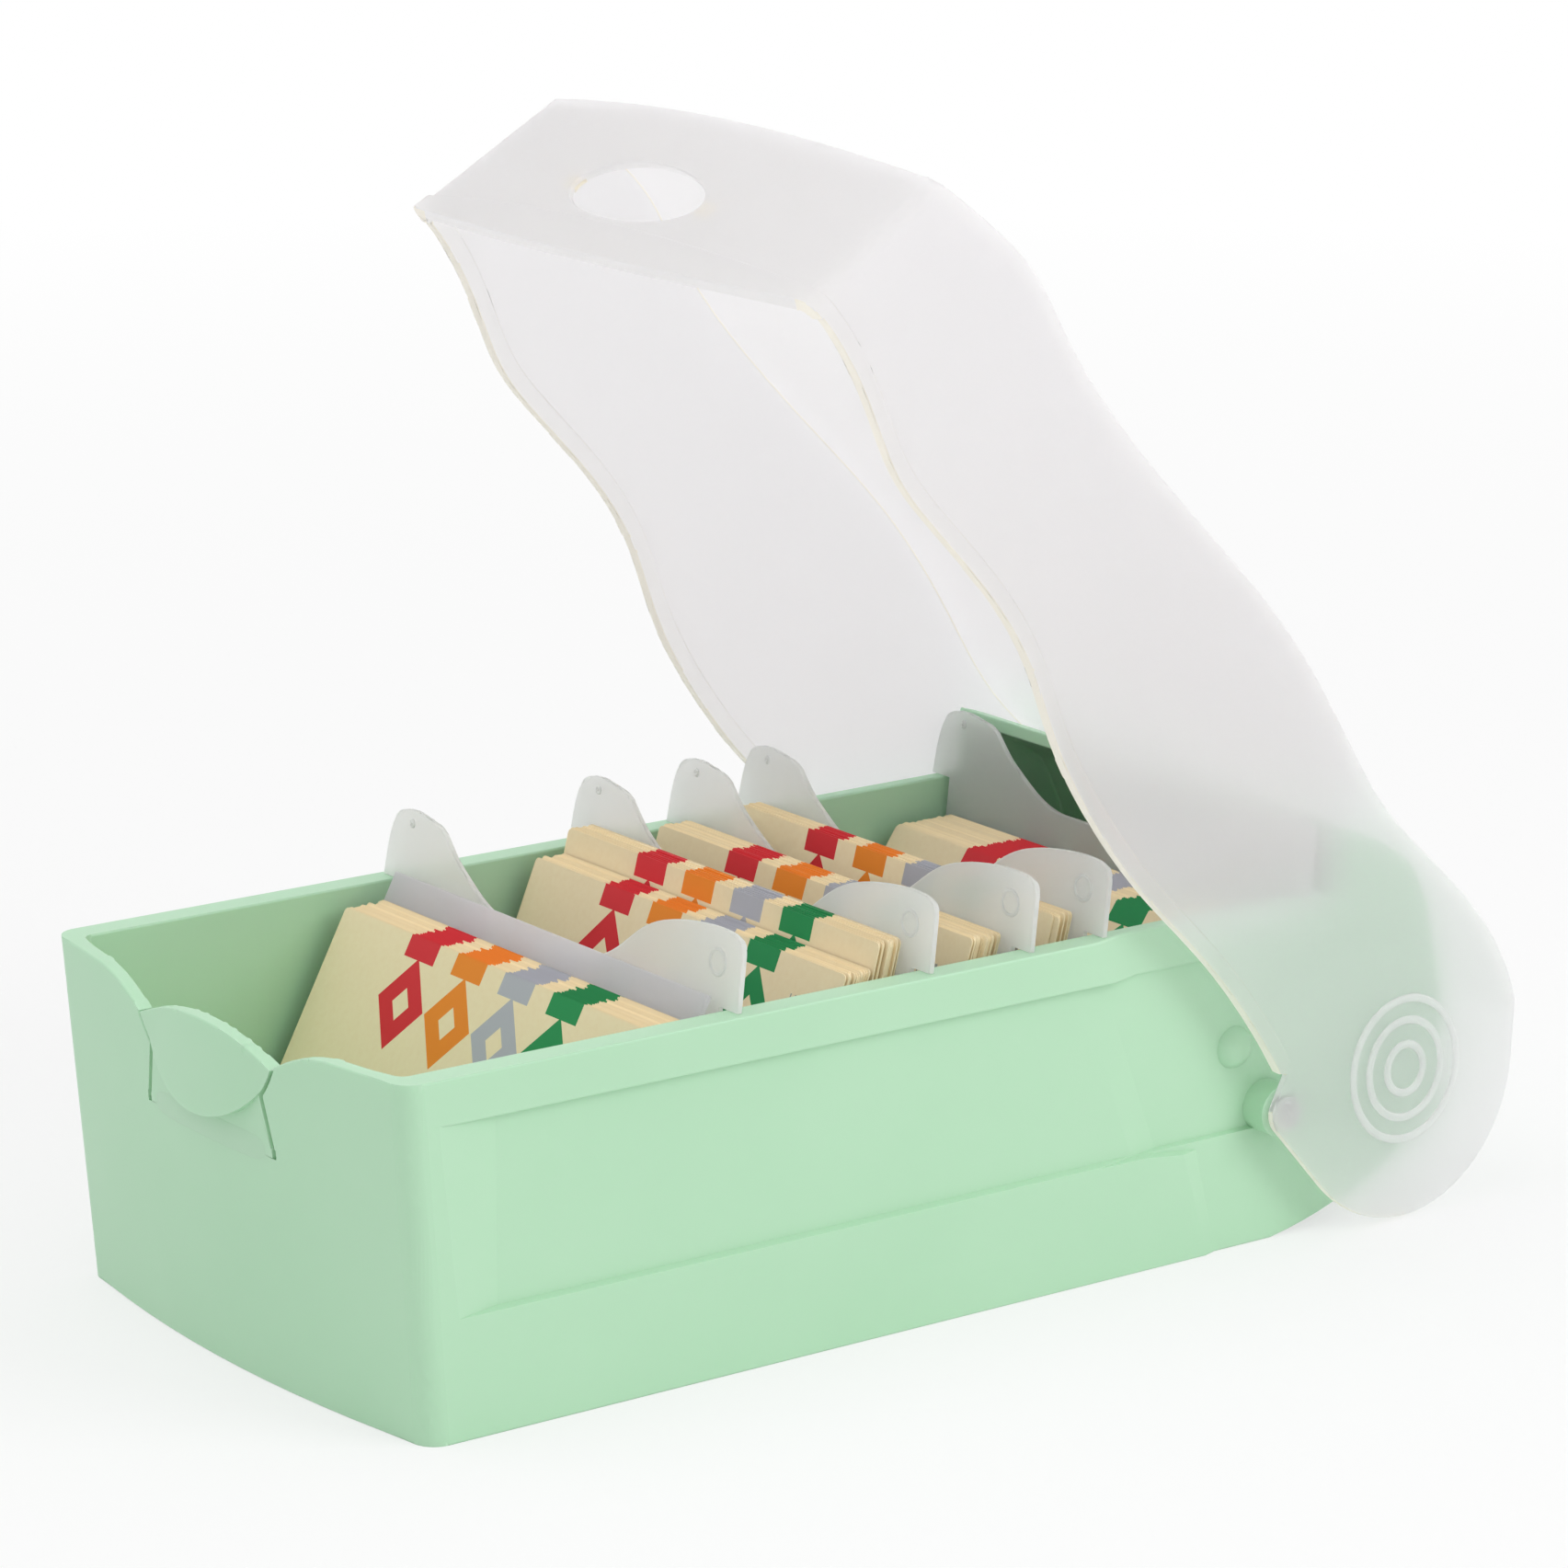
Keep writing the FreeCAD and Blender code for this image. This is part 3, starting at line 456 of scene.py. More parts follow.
def object_from(mesh_maker: bmesh.types.BMesh, name: str) -> bpy.types.Object:
    """Turns a finished bmesh into an object of the scene.

    Args:
        mesh_maker: the finished bmesh, which is freed.
        name: the object's name.

    Returns:
        The object, at the origin.
    """
    mesh = bpy.data.meshes.new(name)
    mesh_maker.to_mesh(mesh)
    mesh_maker.free()
    made = bpy.data.objects.new(name, mesh)
    bpy.context.scene.collection.objects.link(made)
    return made


def smooth_faces(maker: bmesh.types.BMesh) -> None:
    """Shades every face of a bmesh smooth."""
    for face in maker.faces:
        face.smooth = True


def made_verts(made: dict[str, Any]) -> list[bmesh.types.BMVert]:
    """Picks the vertices out of what an operator made."""
    return [item for item in made["geom"] if isinstance(item, bmesh.types.BMVert)]


def merged_solid(node: str) -> bmesh.types.BMesh:
    """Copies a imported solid's loose triangles and joins their corners."""
    maker = bmesh.new()
    maker.from_mesh(frame["nodes"][node].data)
    bmesh.ops.remove_doubles(maker, verts=maker.verts, dist=WELD)
    return maker


def packed_surface(node: str) -> BVHTree:
    """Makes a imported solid's surface ready for rays."""
    shell = frame["nodes"][node].data
    return BVHTree.FromPolygons(
        [vert.co for vert in shell.vertices], [face.vertices for face in shell.polygons]
    )


def face_width(face: bmesh.types.BMFace) -> float:
    """Width of a face across its longest edge: a triangle is as high as twice its area gives."""
    longest = max(edge.calc_length() for edge in face.edges)
    share = 2 if len(face.edges) == 3 else 1
    return share * face.calc_area() / longest if longest else 0.0


def keep_creases(
    maker: bmesh.types.BMesh, angle: float = 5.5, width: float = 1.5, hard_angle: float = 35.0
) -> None:
    """Keeps the shading sharp at hard corners, and where two broad flat faces meet at a shallow angle.

    Args:
        maker: the bmesh, with its flat faces merged.
        angle: the least turn of a crease between broad faces, in degrees.
        width: how broad both faces are, in millimetres.
        hard_angle: the least turn of a crease between any faces, in degrees.
    """
    for edge in maker.edges:
        if not edge.is_manifold:
            continue
        turn = math.degrees(edge.calc_face_angle())
        broad = all(face_width(face) > width * MM for face in edge.link_faces)
        edge.smooth = not (turn > hard_angle or (broad and turn > angle))


def moulded_copy(
    node: str, name: str, radius: float, merge_flat: bool = False, sharp_angle: float = 32.0
) -> bpy.types.Object:
    """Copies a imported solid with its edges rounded, as a mould leaves them.

    Args:
        node: the solid's node.
        name: the new object's name.
        radius: how far each edge is rounded, in millimetres.
        merge_flat: merges the triangles of flat faces first and keeps shallow creases between them.
        sharp_angle: edges that turn by more degrees than this are rounded.

    Returns:
        The rounded copy.
    """
    stray = STRAY_SHARE * radius * MM
    narrow = NARROW_SHARE * radius * MM if merge_flat else SLIVER
    maker = merged_solid(node)
    packed = BVHTree.FromBMesh(maker)
    if merge_flat:
        bmesh.ops.dissolve_degenerate(maker, dist=SLIVER / 2, edges=maker.edges)
        bmesh.ops.dissolve_limit(
            maker, angle_limit=math.radians(FLAT_TURN), verts=maker.verts, edges=maker.edges,
            use_dissolve_boundaries=False,
        )
    sharp = [
        edge for edge in maker.edges
        if edge.is_manifold and edge.calc_face_angle() > math.radians(sharp_angle)
        and all(face_width(face) > narrow for face in edge.link_faces)
    ]
    bmesh.ops.bevel(
        maker, geom=sharp, offset=radius * MM, offset_type="OFFSET", segments=ROUNDING_STEPS,
        profile=0.5, affect="EDGES", clamp_overlap=False, material=-1,
    )
    # A rounding that runs into a thin face can throw a corner off the solid, so it is laid back on it
    for vert in maker.verts:
        place, _, _, distance = packed.find_nearest(vert.co)
        if distance > stray:
            vert.co = place
    smooth_faces(maker)
    if merge_flat:
        keep_creases(maker)
        bmesh.ops.triangulate(
            maker, faces=maker.faces[:], quad_method="BEAUTY", ngon_method="EAR_CLIP"
        )
    made = object_from(maker, name)
    made.data.materials.clear()
    weighted = made.modifiers.new("weighted_normals", "WEIGHTED_NORMAL")
    weighted.weight = 80
    weighted.keep_sharp = True
    return made


def beaded_line(points: list[Vector], name: str, radius: float) -> bpy.types.Object:
    """Makes a round bead along a line of points.

    Args:
        points: the line's points, in metres.
        name: the new object's name.
        radius: the bead's radius, in millimetres.

    Returns:
        The bead as a mesh.
    """
    line = bpy.data.curves.new(name, "CURVE")
    line.dimensions = "3D"
    line.bevel_depth = radius * MM
    line.bevel_resolution = 2
    line.use_fill_caps = True
    spline = line.splines.new("POLY")
    spline.points.add(len(points) - 1)
    for spot, place in zip(spline.points, points):
        spot.co = (*place, 1)
    drawn = bpy.data.objects.new(f"{name}_line", line)
    mesh = bpy.data.meshes.new_from_object(drawn)
    mesh.name = name
    bpy.data.objects.remove(drawn)
    made = bpy.data.objects.new(name, mesh)
    mesh.polygons.foreach_set("use_smooth", [True] * len(mesh.polygons))
    bpy.context.scene.collection.objects.link(made)
    return made


def add_ring(
    maker: bmesh.types.BMesh, place: Matrix, radius: float, half_width: float, height: float
) -> None:
    """Adds a raised half-round ring around the local Z axis, its root a little below the local plane.

    Args:
        maker: the bmesh that takes the ring.
        place: turns and moves the ring from the local plane, in metres.
        radius: the ring's middle radius, in millimetres.
        half_width: half its width at the plane, in millimetres.
        height: how far it stands up, in millimetres.
    """
    profile = []
    for step in range(RING_PROFILE_STEPS + 1):
        turn = math.pi * step / RING_PROFILE_STEPS
        spot = Vector((radius + half_width * math.cos(turn), 0, height * math.sin(turn)))
        profile.append(maker.verts.new(place @ (spot * MM)))
    root = maker.verts.new(place @ (Vector((radius, 0, -height / 2)) * MM))
    profile = profile + [root, profile[0]]
    edges = [maker.edges.new(pair) for pair in zip(profile[:-1], profile[1:])]
    axis = place.to_3x3() @ Vector((0, 0, 1))
    bmesh.ops.spin(
        maker, geom=profile[:-1] + edges, cent=place.translation, axis=axis, angle=2 * math.pi,
        steps=RING_STEPS, use_merge=True,
    )
    bmesh.ops.recalc_face_normals(maker, faces=maker.faces[:])
    smooth_faces(maker)


def dress(
    made: bpy.types.Object, material: bpy.types.Material, body: str, slot: str, *nodes: str
) -> None:
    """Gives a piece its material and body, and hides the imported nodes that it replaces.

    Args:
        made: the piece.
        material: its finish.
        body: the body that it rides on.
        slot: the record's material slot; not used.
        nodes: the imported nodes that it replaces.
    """
    if not made.data.materials:
        made.data.materials.append(material)
    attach(made, body)
    if nodes:
        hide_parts(*nodes)
    LOG.info("%s rides on %s with %d faces", made.name, body, len(made.data.polygons))


def lid_joint() -> dict[str, Any]:
    """Finds the lid's hinge in the record."""
    return next(joint for joint in frame["joints"] if joint["child"] == "lid")


@dataclass
class Tray:
    """The open moulded tray and the springy latch tongue in its front wall."""

    edge_radius: float = 0.36
    tongue_radius: float = 0.3
    hinge_line_height: float = 34.2
    hinge_line_half: float = 14.6
    skin_half: float = 2.2
    skin_proud: float = 0.2
    skin_root: float = 0.06
    skin_thickness: float = 0.3
    skin_columns: int = 24
    skin_rows: int = 8

    def front_spot(self, across: float, height: float, *surfaces: BVHTree) -> Vector:
        """Finds where a ray from in front meets the first of the given surfaces that it meets.

        Args:
            across: the ray's place across the box, in metres.
            height: its height above the table, in metres.
            surfaces: the surfaces, in the order in which they are tried.

        Returns:
            The place that it meets.
        """
        for surface in surfaces:
            place = surface.ray_cast(Vector((across, -1, height)), Vector((0, 1, 0)))[0]
            if place:
                return place
        raise RuntimeError("nothing lies behind the hinge line's skin")

    def build_hinge_skin(self) -> bpy.types.Object:
        """Covers the thin line on which the tongue bends, where the wall's skin runs on.

        Returns:
            The thin patch of skin.
        """
        wall, leaf = packed_surface("tray"), packed_surface("latch_tongue")
        low_height = (self.hinge_line_height - self.skin_half) * MM
        high_height = (self.hinge_line_height + self.skin_half) * MM
        maker = bmesh.new()
        bmesh.ops.create_grid(
            maker, x_segments=self.skin_columns, y_segments=self.skin_rows, size=1
        )
        ends: dict[float, tuple[Vector, Vector]] = {}
        for vert in maker.verts:
            across = round(vert.co.x, 4)
            if across not in ends:
                spot = across * self.hinge_line_half * MM
                ends[across] = (
                    self.front_spot(spot, low_height, wall),
                    self.front_spot(spot, high_height, leaf, wall),
                )
            low, high = ends[across]
            share = (vert.co.y + 1) / 2
            proud = self.skin_proud * (1 - vert.co.y**2) * (1 - across**6) - self.skin_root
            vert.co = low.lerp(high, share) - Vector((0, proud * MM, 0))
        grown = bmesh.ops.extrude_face_region(maker, geom=maker.faces[:])
        bmesh.ops.translate(maker, vec=(0, self.skin_thickness * MM, 0), verts=made_verts(grown))
        bmesh.ops.recalc_face_normals(maker, faces=maker.faces[:])
        smooth_faces(maker)
        return object_from(maker, "latch_hinge_skin")

    def build(self, plastic: bpy.types.Material) -> None:
        """Rounds the tray and its tongue and dresses them.

        Args:
            plastic: the tray's finish.
        """
        shell = moulded_copy("tray", "tray_shell", self.edge_radius, merge_flat=True)
        dress(shell, plastic, "tray", "tray_plastic", "tray")
        tongue = moulded_copy("latch_tongue", "latch_leaf", self.tongue_radius, merge_flat=True)
        dress(tongue, plastic, "latch", "tray_plastic", "latch_tongue")
        dress(self.build_hinge_skin(), plastic, "tray", "tray_plastic")


@dataclass
class Lid:
    """The frosted lid, with a painted glow on its free edge, bright tubes along its top edges that paint
    two highlight lines, and rings on each lobe.
    """

    edge_radius: float = 0.25
    cheek_inside: float = 43.2
    facing_down: float = -0.6
    cheek_facing: float = 0.9
    rim_aside: float = 0.3
    rim_facing: float = 0.2
    ring_radii: tuple[float, ...] = (10.4, 7.2, 3.6)
    ring_half_width: float = 0.6
    ring_height: float = 0.45
    lobe_behind_hinge: float = 12.9
    lobe_above_hinge: float = 19.0
    open_angle: float = 50.0
    core_radius: float = 2.4
    core_depth: float = 0.75
    core_thickness: float = 0.5
    core_sides: int = 40
    bead_radius: float = 0.35
    bead_sink: float = 0.3
    bead_spacing: float = 1.7

    def hinge(self) -> Vector:
        """Place of the hinge axis in the middle of the box."""
        return Vector(lid_joint()["pos_m"])

    def opening(self) -> Matrix:
        """Turns and moves the closed lid to where it rests open."""
        to_hinge = Matrix.Translation(self.hinge())
        return to_hinge @ Matrix.Rotation(math.radians(-self.open_angle), 4, "X") @ to_hinge.inverted()

    def free_edge_faces(self, shell: bpy.types.Object) -> None:
        """Gives the narrow faces along the lid's free edge their own material slot, whose opaque cream
        finish paints the glow of light coming out through the edge.
        """
        closing = self.opening().inverted().to_3x3()
        for face in shell.data.polygons:
            down = (closing @ face.normal).z < self.facing_down
            if down and abs(face.center.x) > self.cheek_inside * MM:
                face.material_index = 1

    def cheek_planes(self, closed_spot: Vector, sink: float = 0.0) -> list[Matrix]:
        """Finds the local plane on the outside of each cheek, its Z axis pointing out of the lid.

        Args:
            closed_spot: a place in the middle of the box with the lid closed, level with the spot.
            sink: how far the planes lie under the cheeks' outside, in millimetres.

        Returns:
            The left and the right plane, with the lid open.
        """
        spot = self.opening() @ closed_spot
        surface = packed_surface("lid")
        planes = []
        for side in (-1, 1):
            inwards = Vector((-side, 0, 0))
            place, outwards, _, _ = surface.ray_cast(spot - inwards, inwards)
            turn = outwards.to_track_quat("Z", "Y").to_matrix().to_4x4()
            planes.append(Matrix.Translation(place - outwards * sink * MM) @ turn)
        return planes

    def medallions(self) -> bpy.types.Object:
        """Raises plain rings on the round lobe of each cheek; the rings are real relief, and their whiter
        finish paints their highlights.
        """
        maker = bmesh.new()
        centre = self.hinge() + Vector((0, self.lobe_behind_hinge, self.lobe_above_hinge)) * MM
        for plane in self.cheek_planes(centre):
            for radius in self.ring_radii:
                add_ring(maker, plane, radius, self.ring_half_width, self.ring_height)
        return object_from(maker, "lid_medallions")

    def stud_cores(self) -> bpy.types.Object:
        """Sets the solid, whiter root of each hinge stud inside the cheek."""
        maker = bmesh.new()
        radius = self.core_radius * MM
        for plane in self.cheek_planes(self.hinge(), self.core_depth):
            bmesh.ops.create_cone(
                maker, cap_ends=True, segments=self.core_sides, radius1=radius, radius2=radius,
                depth=self.core_thickness * MM, matrix=plane,
            )
        return object_from(maker, "lid_stud_cores")

    def top_edge(self, side: int) -> list[tuple[Vector, Vector]]:
        """Follows the outer corner of one cheek's top and rear edge.

        Args:
            side: 1 for the right cheek and -1 for the left one.

        Returns:
            Each point in order, from the front to the lobe's foot, and the way out of the lid there.
        """
        closing = self.opening().inverted().to_3x3()
        maker = merged_solid("lid")
        corner = set()
        for edge in maker.edges:
            normals = [closing @ face.normal for face in edge.link_faces]
            cheek = any(side * normal.x > self.cheek_facing for normal in normals)
            rim = any(
                abs(normal.x) < self.rim_aside and max(normal.y, normal.z) > self.rim_facing
                for normal in normals
            )
            if cheek and rim:
                corner.add(edge)
        ends = [
            vert for edge in corner for vert in edge.verts
            if sum(link in corner for link in vert.link_edges) == 1
        ]
        spot = min(ends, key=lambda vert: (closing @ vert.co).y)
        line = [(spot.co.copy(), spot.normal.copy())]
        while True:
            onward = next((edge for edge in spot.link_edges if edge in corner), None)
            if onward is None:
                break
            corner.remove(onward)
            spot = onward.other_vert(spot)
            line.append((spot.co.copy(), spot.normal.copy()))
        maker.free()
        return line

    def painted_highlight_beads(self) -> list[bpy.types.Object]:
        """Runs two fine bright tubes along the top edge of each cheek, in the free edge's glow finish, to
        paint the edge's double highlight line.
        """
        made = []
        for side, name in ((1, "right"), (-1, "left")):
            edge = self.top_edge(side)
            for row, label in enumerate(("outer", "inner")):
                aside = Vector((-side * row * self.bead_spacing * MM, 0, 0))
                points = [spot + aside - out * self.bead_sink * MM for spot, out in edge]
                made.append(beaded_line(points, f"lid_{name}_{label}_bead", self.bead_radius))
        return made

    def build(self, materials: dict[Piece, bpy.types.Material]) -> None:
        """Rounds the lid, paints a glow on its free edge and adds the medallions, stud cores and the
        bright tubes that paint the top edges' highlight lines.

        Args:
            materials: the finishes, of which it takes the lid's three.
        """
        # bright is the painted glow finish, laid on the free edge and on the tubes that paint the top
        # edges' highlight lines
        plastic, bright = materials[Piece.LID], materials[Piece.PAINTED_EDGE_GLOW]
        raised = materials[Piece.RAISED_MARK]
        shell = moulded_copy("lid", "lid_shell", self.edge_radius)
        shell.data.materials.append(plastic)
        shell.data.materials.append(bright)
        self.free_edge_faces(shell)
        dress(shell, plastic, "lid", "lid_plastic", "lid")
        dress(self.medallions(), raised, "lid", "lid_plastic")
        dress(self.stud_cores(), raised, "lid", "lid_plastic")
        # Painted highlight: the bright tubes stand in for the two highlight lines along each cheek's top
        # edge
        for bead in self.painted_highlight_beads():
            dress(bead, bright, "lid", "lid_plastic")


@dataclass
class Divider:
    """A loose frosted divider with a small raised ring on its lobe and a pip on its fin."""

    number: int
    edge_radius: float = 0.2
    lean: float = 6.0
    thickness: float = 0.9
    ring_radius: float = 1.75
    ring_half_width: float = 0.25
    ring_height: float = 0.22
    ring_from_side: float = 5.2
    ring_below_top: float = 4.6
    pip_radius: float = 0.35
    pip_half_width: float = 0.3
    pip_height: float = 0.25
    pip_from_side: float = 6.5
    pip_below_top: float = 1.9

    def front_place(self, across: float, height: float) -> Matrix:
        """Local plane on the front face, its Z axis pointing out of it.

        Args:
            across: place across the box, in metres.
            height: place above the table, in metres.

        Returns:
            The plane's place.
        """
        low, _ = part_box(f"divider_{self.number}")
        lean = math.radians(self.lean)
        rise = height - low.z - self.thickness * math.sin(lean) * MM
        spot = Vector((across, low.y + rise * math.tan(lean), height))
        return Matrix.Translation(spot) @ Matrix.Rotation(math.pi / 2 - lean, 4, "X")

    def marks(self, name: str) -> bpy.types.Object:
        """Raises the ring and the pip."""
        low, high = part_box(name)
        maker = bmesh.new()
        ring = self.front_place(high.x - self.ring_from_side * MM, high.z - self.ring_below_top * MM)
        add_ring(maker, ring, self.ring_radius, self.ring_half_width, self.ring_height)
        pip = self.front_place(low.x + self.pip_from_side * MM, high.z - self.pip_below_top * MM)
        add_ring(maker, pip, self.pip_radius, self.pip_half_width, self.pip_height)
        return object_from(maker, f"{name}_marks")

    def build(self, plastic: bpy.types.Material) -> None:
        """Rounds the divider, raises its marks and dresses both.

        Args:
            plastic: the divider's finish.
        """
        name = f"divider_{self.number}"
        plate = moulded_copy(name, f"{name}_plate", self.edge_radius)
        dress(plate, plastic, name, "divider_plastic", name)
        dress(self.marks(name), plastic, name, "divider_plastic")


@dataclass
class SupportPlate:
    """The flat frosted plate that leans behind the first pack of cards."""

    node: str = "support_plate"
    edge_radius: float = 0.2

    def build(self, plastic: bpy.types.Material) -> None:
        """Rounds the plate's edges and dresses it."""
        sheet = moulded_copy(self.node, "support_plate_sheet", self.edge_radius)
        dress(sheet, plastic, "front_pack", "support_plastic", self.node)


@dataclass
class CardPack:
    """A pack of loose cards that stand on their lower edges and lean back."""

    node: str
    body: str
    count: int
    seed: int
    width: float = 74.0
    height: float = 52.0
    thickness: float = 0.22
    corner: float = 0.7
    back_shift: float = 2.0
    stray_across: float = 0.55
    stray_up: float = 0.3
    tone_low: float = 0.93
    tone_high: float = 1.04

    def lean(self) -> float:
        """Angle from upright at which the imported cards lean, worked out from their height."""
        low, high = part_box(self.node)
        reach = math.hypot(self.height, self.thickness) * MM
        return math.atan2(self.thickness, self.height) + math.acos((high.z - low.z) / reach)

    def blank(self, maker: bmesh.types.BMesh) -> list[Any]:
        """Makes one upright card with its lower front corner at the origin.

        Args:
            maker: the bmesh that takes the card.

        Returns:
            The card's vertices, edges and faces.
        """
        bmesh.ops.create_grid(maker, x_segments=1, y_segments=1, size=0.5)
        bmesh.ops.scale(maker, vec=(self.width * MM, self.height * MM, 1), verts=maker.verts)
        bmesh.ops.bevel(
            maker, geom=maker.verts[:], offset=self.corner * MM, offset_type="OFFSET",
            segments=ROUNDING_STEPS, profile=0.5, affect="VERTICES", clamp_overlap=True, material=-1,
        )
        grown = bmesh.ops.extrude_face_region(maker, geom=maker.faces[:])
        bmesh.ops.translate(maker, vec=(0, 0, -self.thickness * MM), verts=made_verts(grown))
        bmesh.ops.rotate(maker, matrix=Matrix.Rotation(math.pi / 2, 3, "X"), verts=maker.verts)
        bmesh.ops.translate(maker, vec=(0, 0, self.height / 2 * MM), verts=maker.verts)
        bmesh.ops.recalc_face_normals(maker, faces=maker.faces[:])
        spots = maker.loops.layers.uv.new("card")
        for face in maker.faces:
            # The plain back's map lies beside the print
            shift = self.back_shift if face.normal.y > 0.5 else 0.0
            for loop in face.loops:
                across = loop.vert.co.x / (self.width * MM) + 0.5 + shift
                loop[spots].uv = (across, loop.vert.co.z / (self.height * MM))
        return maker.verts[:] + maker.edges[:] + maker.faces[:]

    def build(self, board: bpy.types.Material) -> None:
        """Lays the cards out one behind the other and dresses the pack.

        Args:
            board: the printed card's finish.
        """
        draw = random.Random(self.seed)
        low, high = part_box(self.node)
        lean = self.lean()
        depth = self.height * math.sin(lean) + self.thickness * math.cos(lean)
        pitch = (high.y - low.y - depth * MM) / (self.count - 1)
        maker = bmesh.new()
        tones = maker.verts.layers.float.new("card_tone")
        blank = self.blank(maker)
        blank_verts = [item for item in blank if isinstance(item, bmesh.types.BMVert)]
        for number in range(self.count):
            verts = made_verts(bmesh.ops.duplicate(maker, geom=blank))
            tone = draw.uniform(self.tone_low, self.tone_high)
            for vert in verts:
                vert[tones] = tone
            across = draw.uniform(-self.stray_across, self.stray_across) * MM
            up = draw.uniform(0, self.stray_up) * MM
            rise = self.thickness * math.sin(lean) * MM + up
            foot = Vector((across, low.y + number * pitch, low.z + rise))
            place = Matrix.Translation(foot) @ Matrix.Rotation(-lean, 4, "X")
            bmesh.ops.transform(maker, matrix=place, verts=verts)
        bmesh.ops.delete(maker, geom=blank_verts, context="VERTS")
        pack = object_from(maker, f"{self.node}_pack")
        dress(pack, board, self.body, "card_stock", self.node)


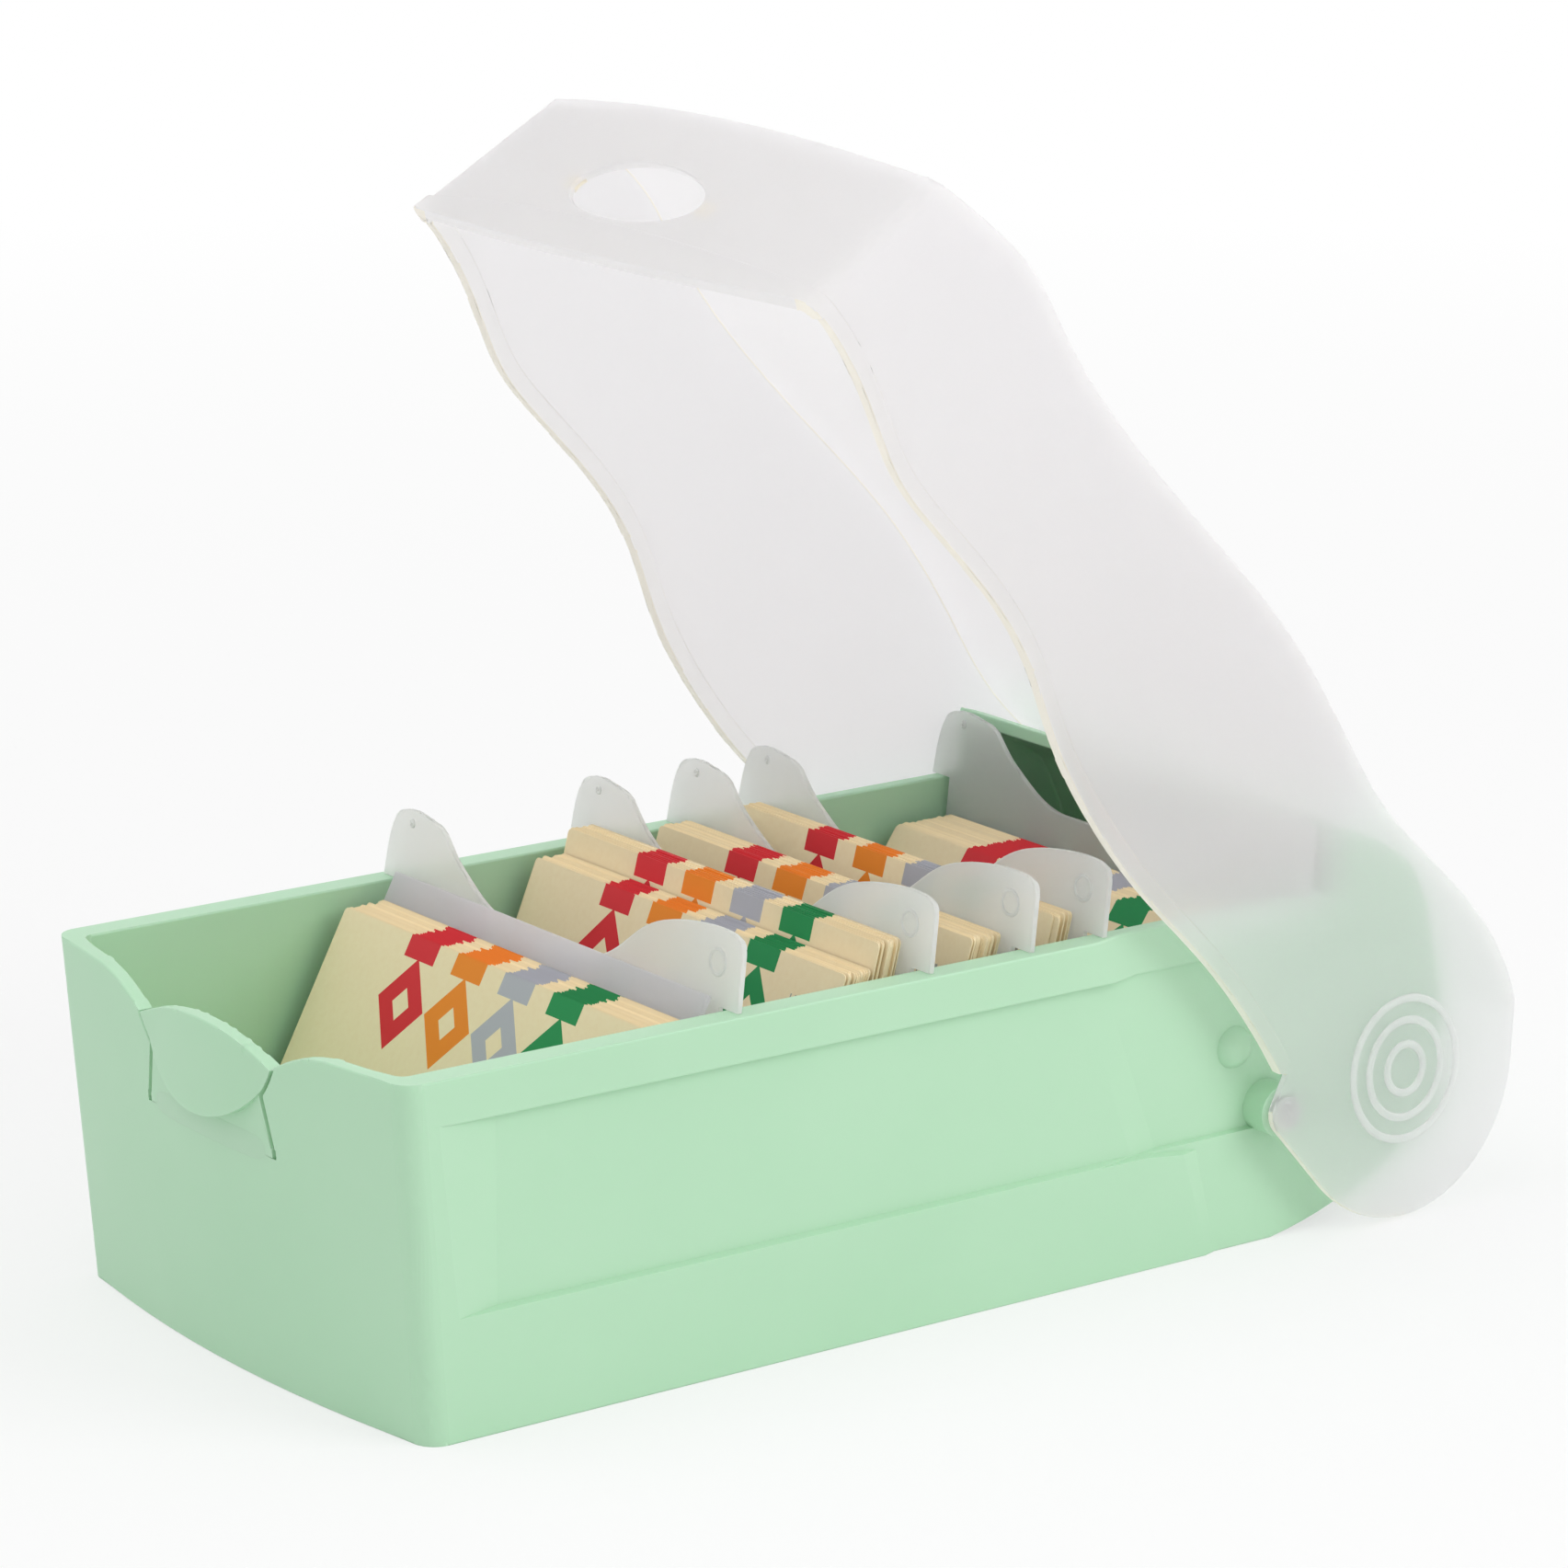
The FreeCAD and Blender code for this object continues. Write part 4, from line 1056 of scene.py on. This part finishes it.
@dataclass
class Studio:
    """Plain white studio, lit softly from the right rear and from above, with its camera."""

    key_power: float = 4.6
    key_size: float = 700.0
    key_place: tuple[float, float, float] = (900.0, 550.0, 650.0)
    top_power: float = 2.4
    top_size: float = 900.0
    top_place: tuple[float, float, float] = (-150.0, -350.0, 1100.0)
    lamp_target: tuple[float, float, float] = (0.0, 0.0, 40.0)
    sky: float = 0.74
    camera_place: tuple[float, float, float] = (674.85, -484.3, 287.0)
    azimuth: float = 53.42
    elevation: float = 14.69
    roll: float = -0.277
    lens: float = 141.6
    sensor: float = 36.0
    sight: float = 10.0
    paper_colour: str = "#F4F4F4"
    floor_radius: float = 3000.0
    floor_sides: int = 96
    fade_start: float = 250.0
    fade_end: float = 900.0
    near_white: float = 0.62

    def add_light(
        self, name: str, power: float, side: float, stand: tuple[float, float, float]
    ) -> None:
        """Adds a square white softbox that faces the box.

        Args:
            name: the lamp's name.
            power: its strength in watts.
            side: its side, in millimetres.
            stand: where it stands, in millimetres.
        """
        lamp = bpy.data.lights.new(name, "AREA")
        lamp.energy = power
        lamp.size = side * MM
        lamp.color = srgb(WHITE)[:3]
        softbox = bpy.data.objects.new(name, lamp)
        place = Vector(stand)
        aim = (Vector(self.lamp_target) - place).to_track_quat("-Z", "Y").to_matrix().to_4x4()
        softbox.matrix_world = Matrix.Translation(place * MM) @ aim
        bpy.context.scene.collection.objects.link(softbox)

    def seen_share(self, tree: bpy.types.NodeTree) -> bpy.types.NodeSocket:
        """Gives 1 on rays from the camera and on rays mirrored or let through by the object."""
        path = add_node(tree, "ShaderNodeLightPath")
        glossy = add_node(
            tree, "ShaderNodeMath", {"operation": "MAXIMUM"},
            links={0: path.outputs["Is Camera Ray"], 1: path.outputs["Is Glossy Ray"]},
        )
        return add_node(
            tree, "ShaderNodeMath", {"operation": "MAXIMUM"},
            links={0: glossy.outputs["Value"], 1: path.outputs["Is Transmission Ray"]},
        ).outputs["Value"]

    def build_world(self) -> None:
        """Lights the scene evenly and shows white behind it."""
        world = bpy.data.worlds.new("studio")
        bpy.context.scene.world = world
        world.use_nodes = True
        tree = world.node_tree
        tree.nodes.clear()
        even = add_node(
            tree, "ShaderNodeBackground", values={"Color": srgb(WHITE), "Strength": self.sky}
        )
        white = add_node(tree, "ShaderNodeBackground", values={"Color": srgb(WHITE), "Strength": 1.0})
        mixed = add_node(
            tree, "ShaderNodeMixShader",
            links={
                "Fac": self.seen_share(tree), 1: even.outputs["Background"],
                2: white.outputs["Background"],
            },
        )
        add_node(tree, "ShaderNodeOutputWorld", links={"Surface": mixed.outputs["Shader"]})

    def build_floor(self) -> None:
        """Lays a pale floor that keeps the object's shadow and fades to white away from it."""
        maker = bmesh.new()
        bmesh.ops.create_circle(
            maker, cap_ends=True, segments=self.floor_sides, radius=self.floor_radius * MM
        )
        floor = object_from(maker, "studio_floor")
        material = empty_material("pale_studio_paper")
        tree = material.node_tree
        place = add_node(tree, "ShaderNodeTexCoord").outputs["Object"]
        away = add_node(tree, "ShaderNodeVectorMath", {"operation": "LENGTH"}, links={0: place})
        fade = add_node(
            tree, "ShaderNodeMapRange",
            values={
                "From Min": self.fade_start * MM, "From Max": self.fade_end * MM,
                "To Min": self.near_white, "To Max": 1.0,
            },
            links={"Value": away.outputs["Value"]},
        )
        share = add_node(
            tree, "ShaderNodeMath", {"operation": "MULTIPLY"},
            links={0: fade.outputs["Result"], 1: self.seen_share(tree)},
        )
        paper = add_node(tree, "ShaderNodeBsdfDiffuse", values={"Color": srgb(self.paper_colour)})
        white = add_node(tree, "ShaderNodeEmission", values={"Color": srgb(WHITE), "Strength": 1.0})
        mixed = add_node(
            tree, "ShaderNodeMixShader",
            links={
                "Fac": share.outputs["Value"], 1: paper.outputs["BSDF"], 2: white.outputs["Emission"],
            },
        )
        connect_surface(tree, mixed.outputs["Shader"])
        floor.data.materials.append(material)

    def build_camera(self) -> None:
        """Stands the camera where the photograph was taken from."""
        around, above = math.radians(self.azimuth), math.radians(self.elevation)
        forward = Vector((
            -math.sin(around) * math.cos(above), math.cos(around) * math.cos(above), -math.sin(above),
        ))
        right = forward.cross(Vector((0, 0, 1))).normalized()
        right = Matrix.Rotation(math.radians(self.roll), 3, forward) @ right
        up = right.cross(forward)
        turn = Matrix((right, up, -forward)).transposed().to_4x4()
        lens = bpy.data.cameras.new("photo_camera")
        lens.lens = self.lens
        lens.sensor_width = self.sensor
        lens.clip_end = self.sight
        camera = bpy.data.objects.new("photo_camera", lens)
        camera.matrix_world = Matrix.Translation(Vector(self.camera_place) * MM) @ turn
        bpy.context.scene.collection.objects.link(camera)
        bpy.context.scene.camera = camera

    def build(self) -> None:
        """Builds the world, the lamps, the floor and the camera."""
        self.build_world()
        self.add_light("key_softbox", self.key_power, self.key_size, self.key_place)
        self.add_light("top_softbox", self.top_power, self.top_size, self.top_place)
        self.build_floor()
        self.build_camera()
        bpy.context.scene.view_settings.view_transform = "Standard"


DIVIDERS = 5
PACKS = (
    CardPack("cards_1", "front_pack", count=24, seed=11),
    CardPack("cards_2_low", "second_pack", count=16, seed=12),
    CardPack("cards_2_raised", "second_pack", count=16, seed=13),
    CardPack("cards_3", "third_pack", count=20, seed=14),
    CardPack("cards_4", "fourth_pack", count=13, seed=15),
    CardPack("cards_5", "fifth_pack", count=34, seed=16),
)


def main() -> None:
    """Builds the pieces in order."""
    logging.basicConfig(level=logging.INFO, format="%(message)s")
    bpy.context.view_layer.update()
    materials = {piece: finish.build() for piece, finish in FINISHES.items()}
    Studio().build()
    Tray().build(materials[Piece.TRAY])
    Lid().build(materials)
    for number in range(1, DIVIDERS + 1):
        Divider(number).build(materials[Piece.DIVIDER])
    SupportPlate().build(materials[Piece.PLATE])
    board = PrintedCard().build()
    for pack in PACKS:
        pack.build(board)


if __name__ == "__main__":
    main()
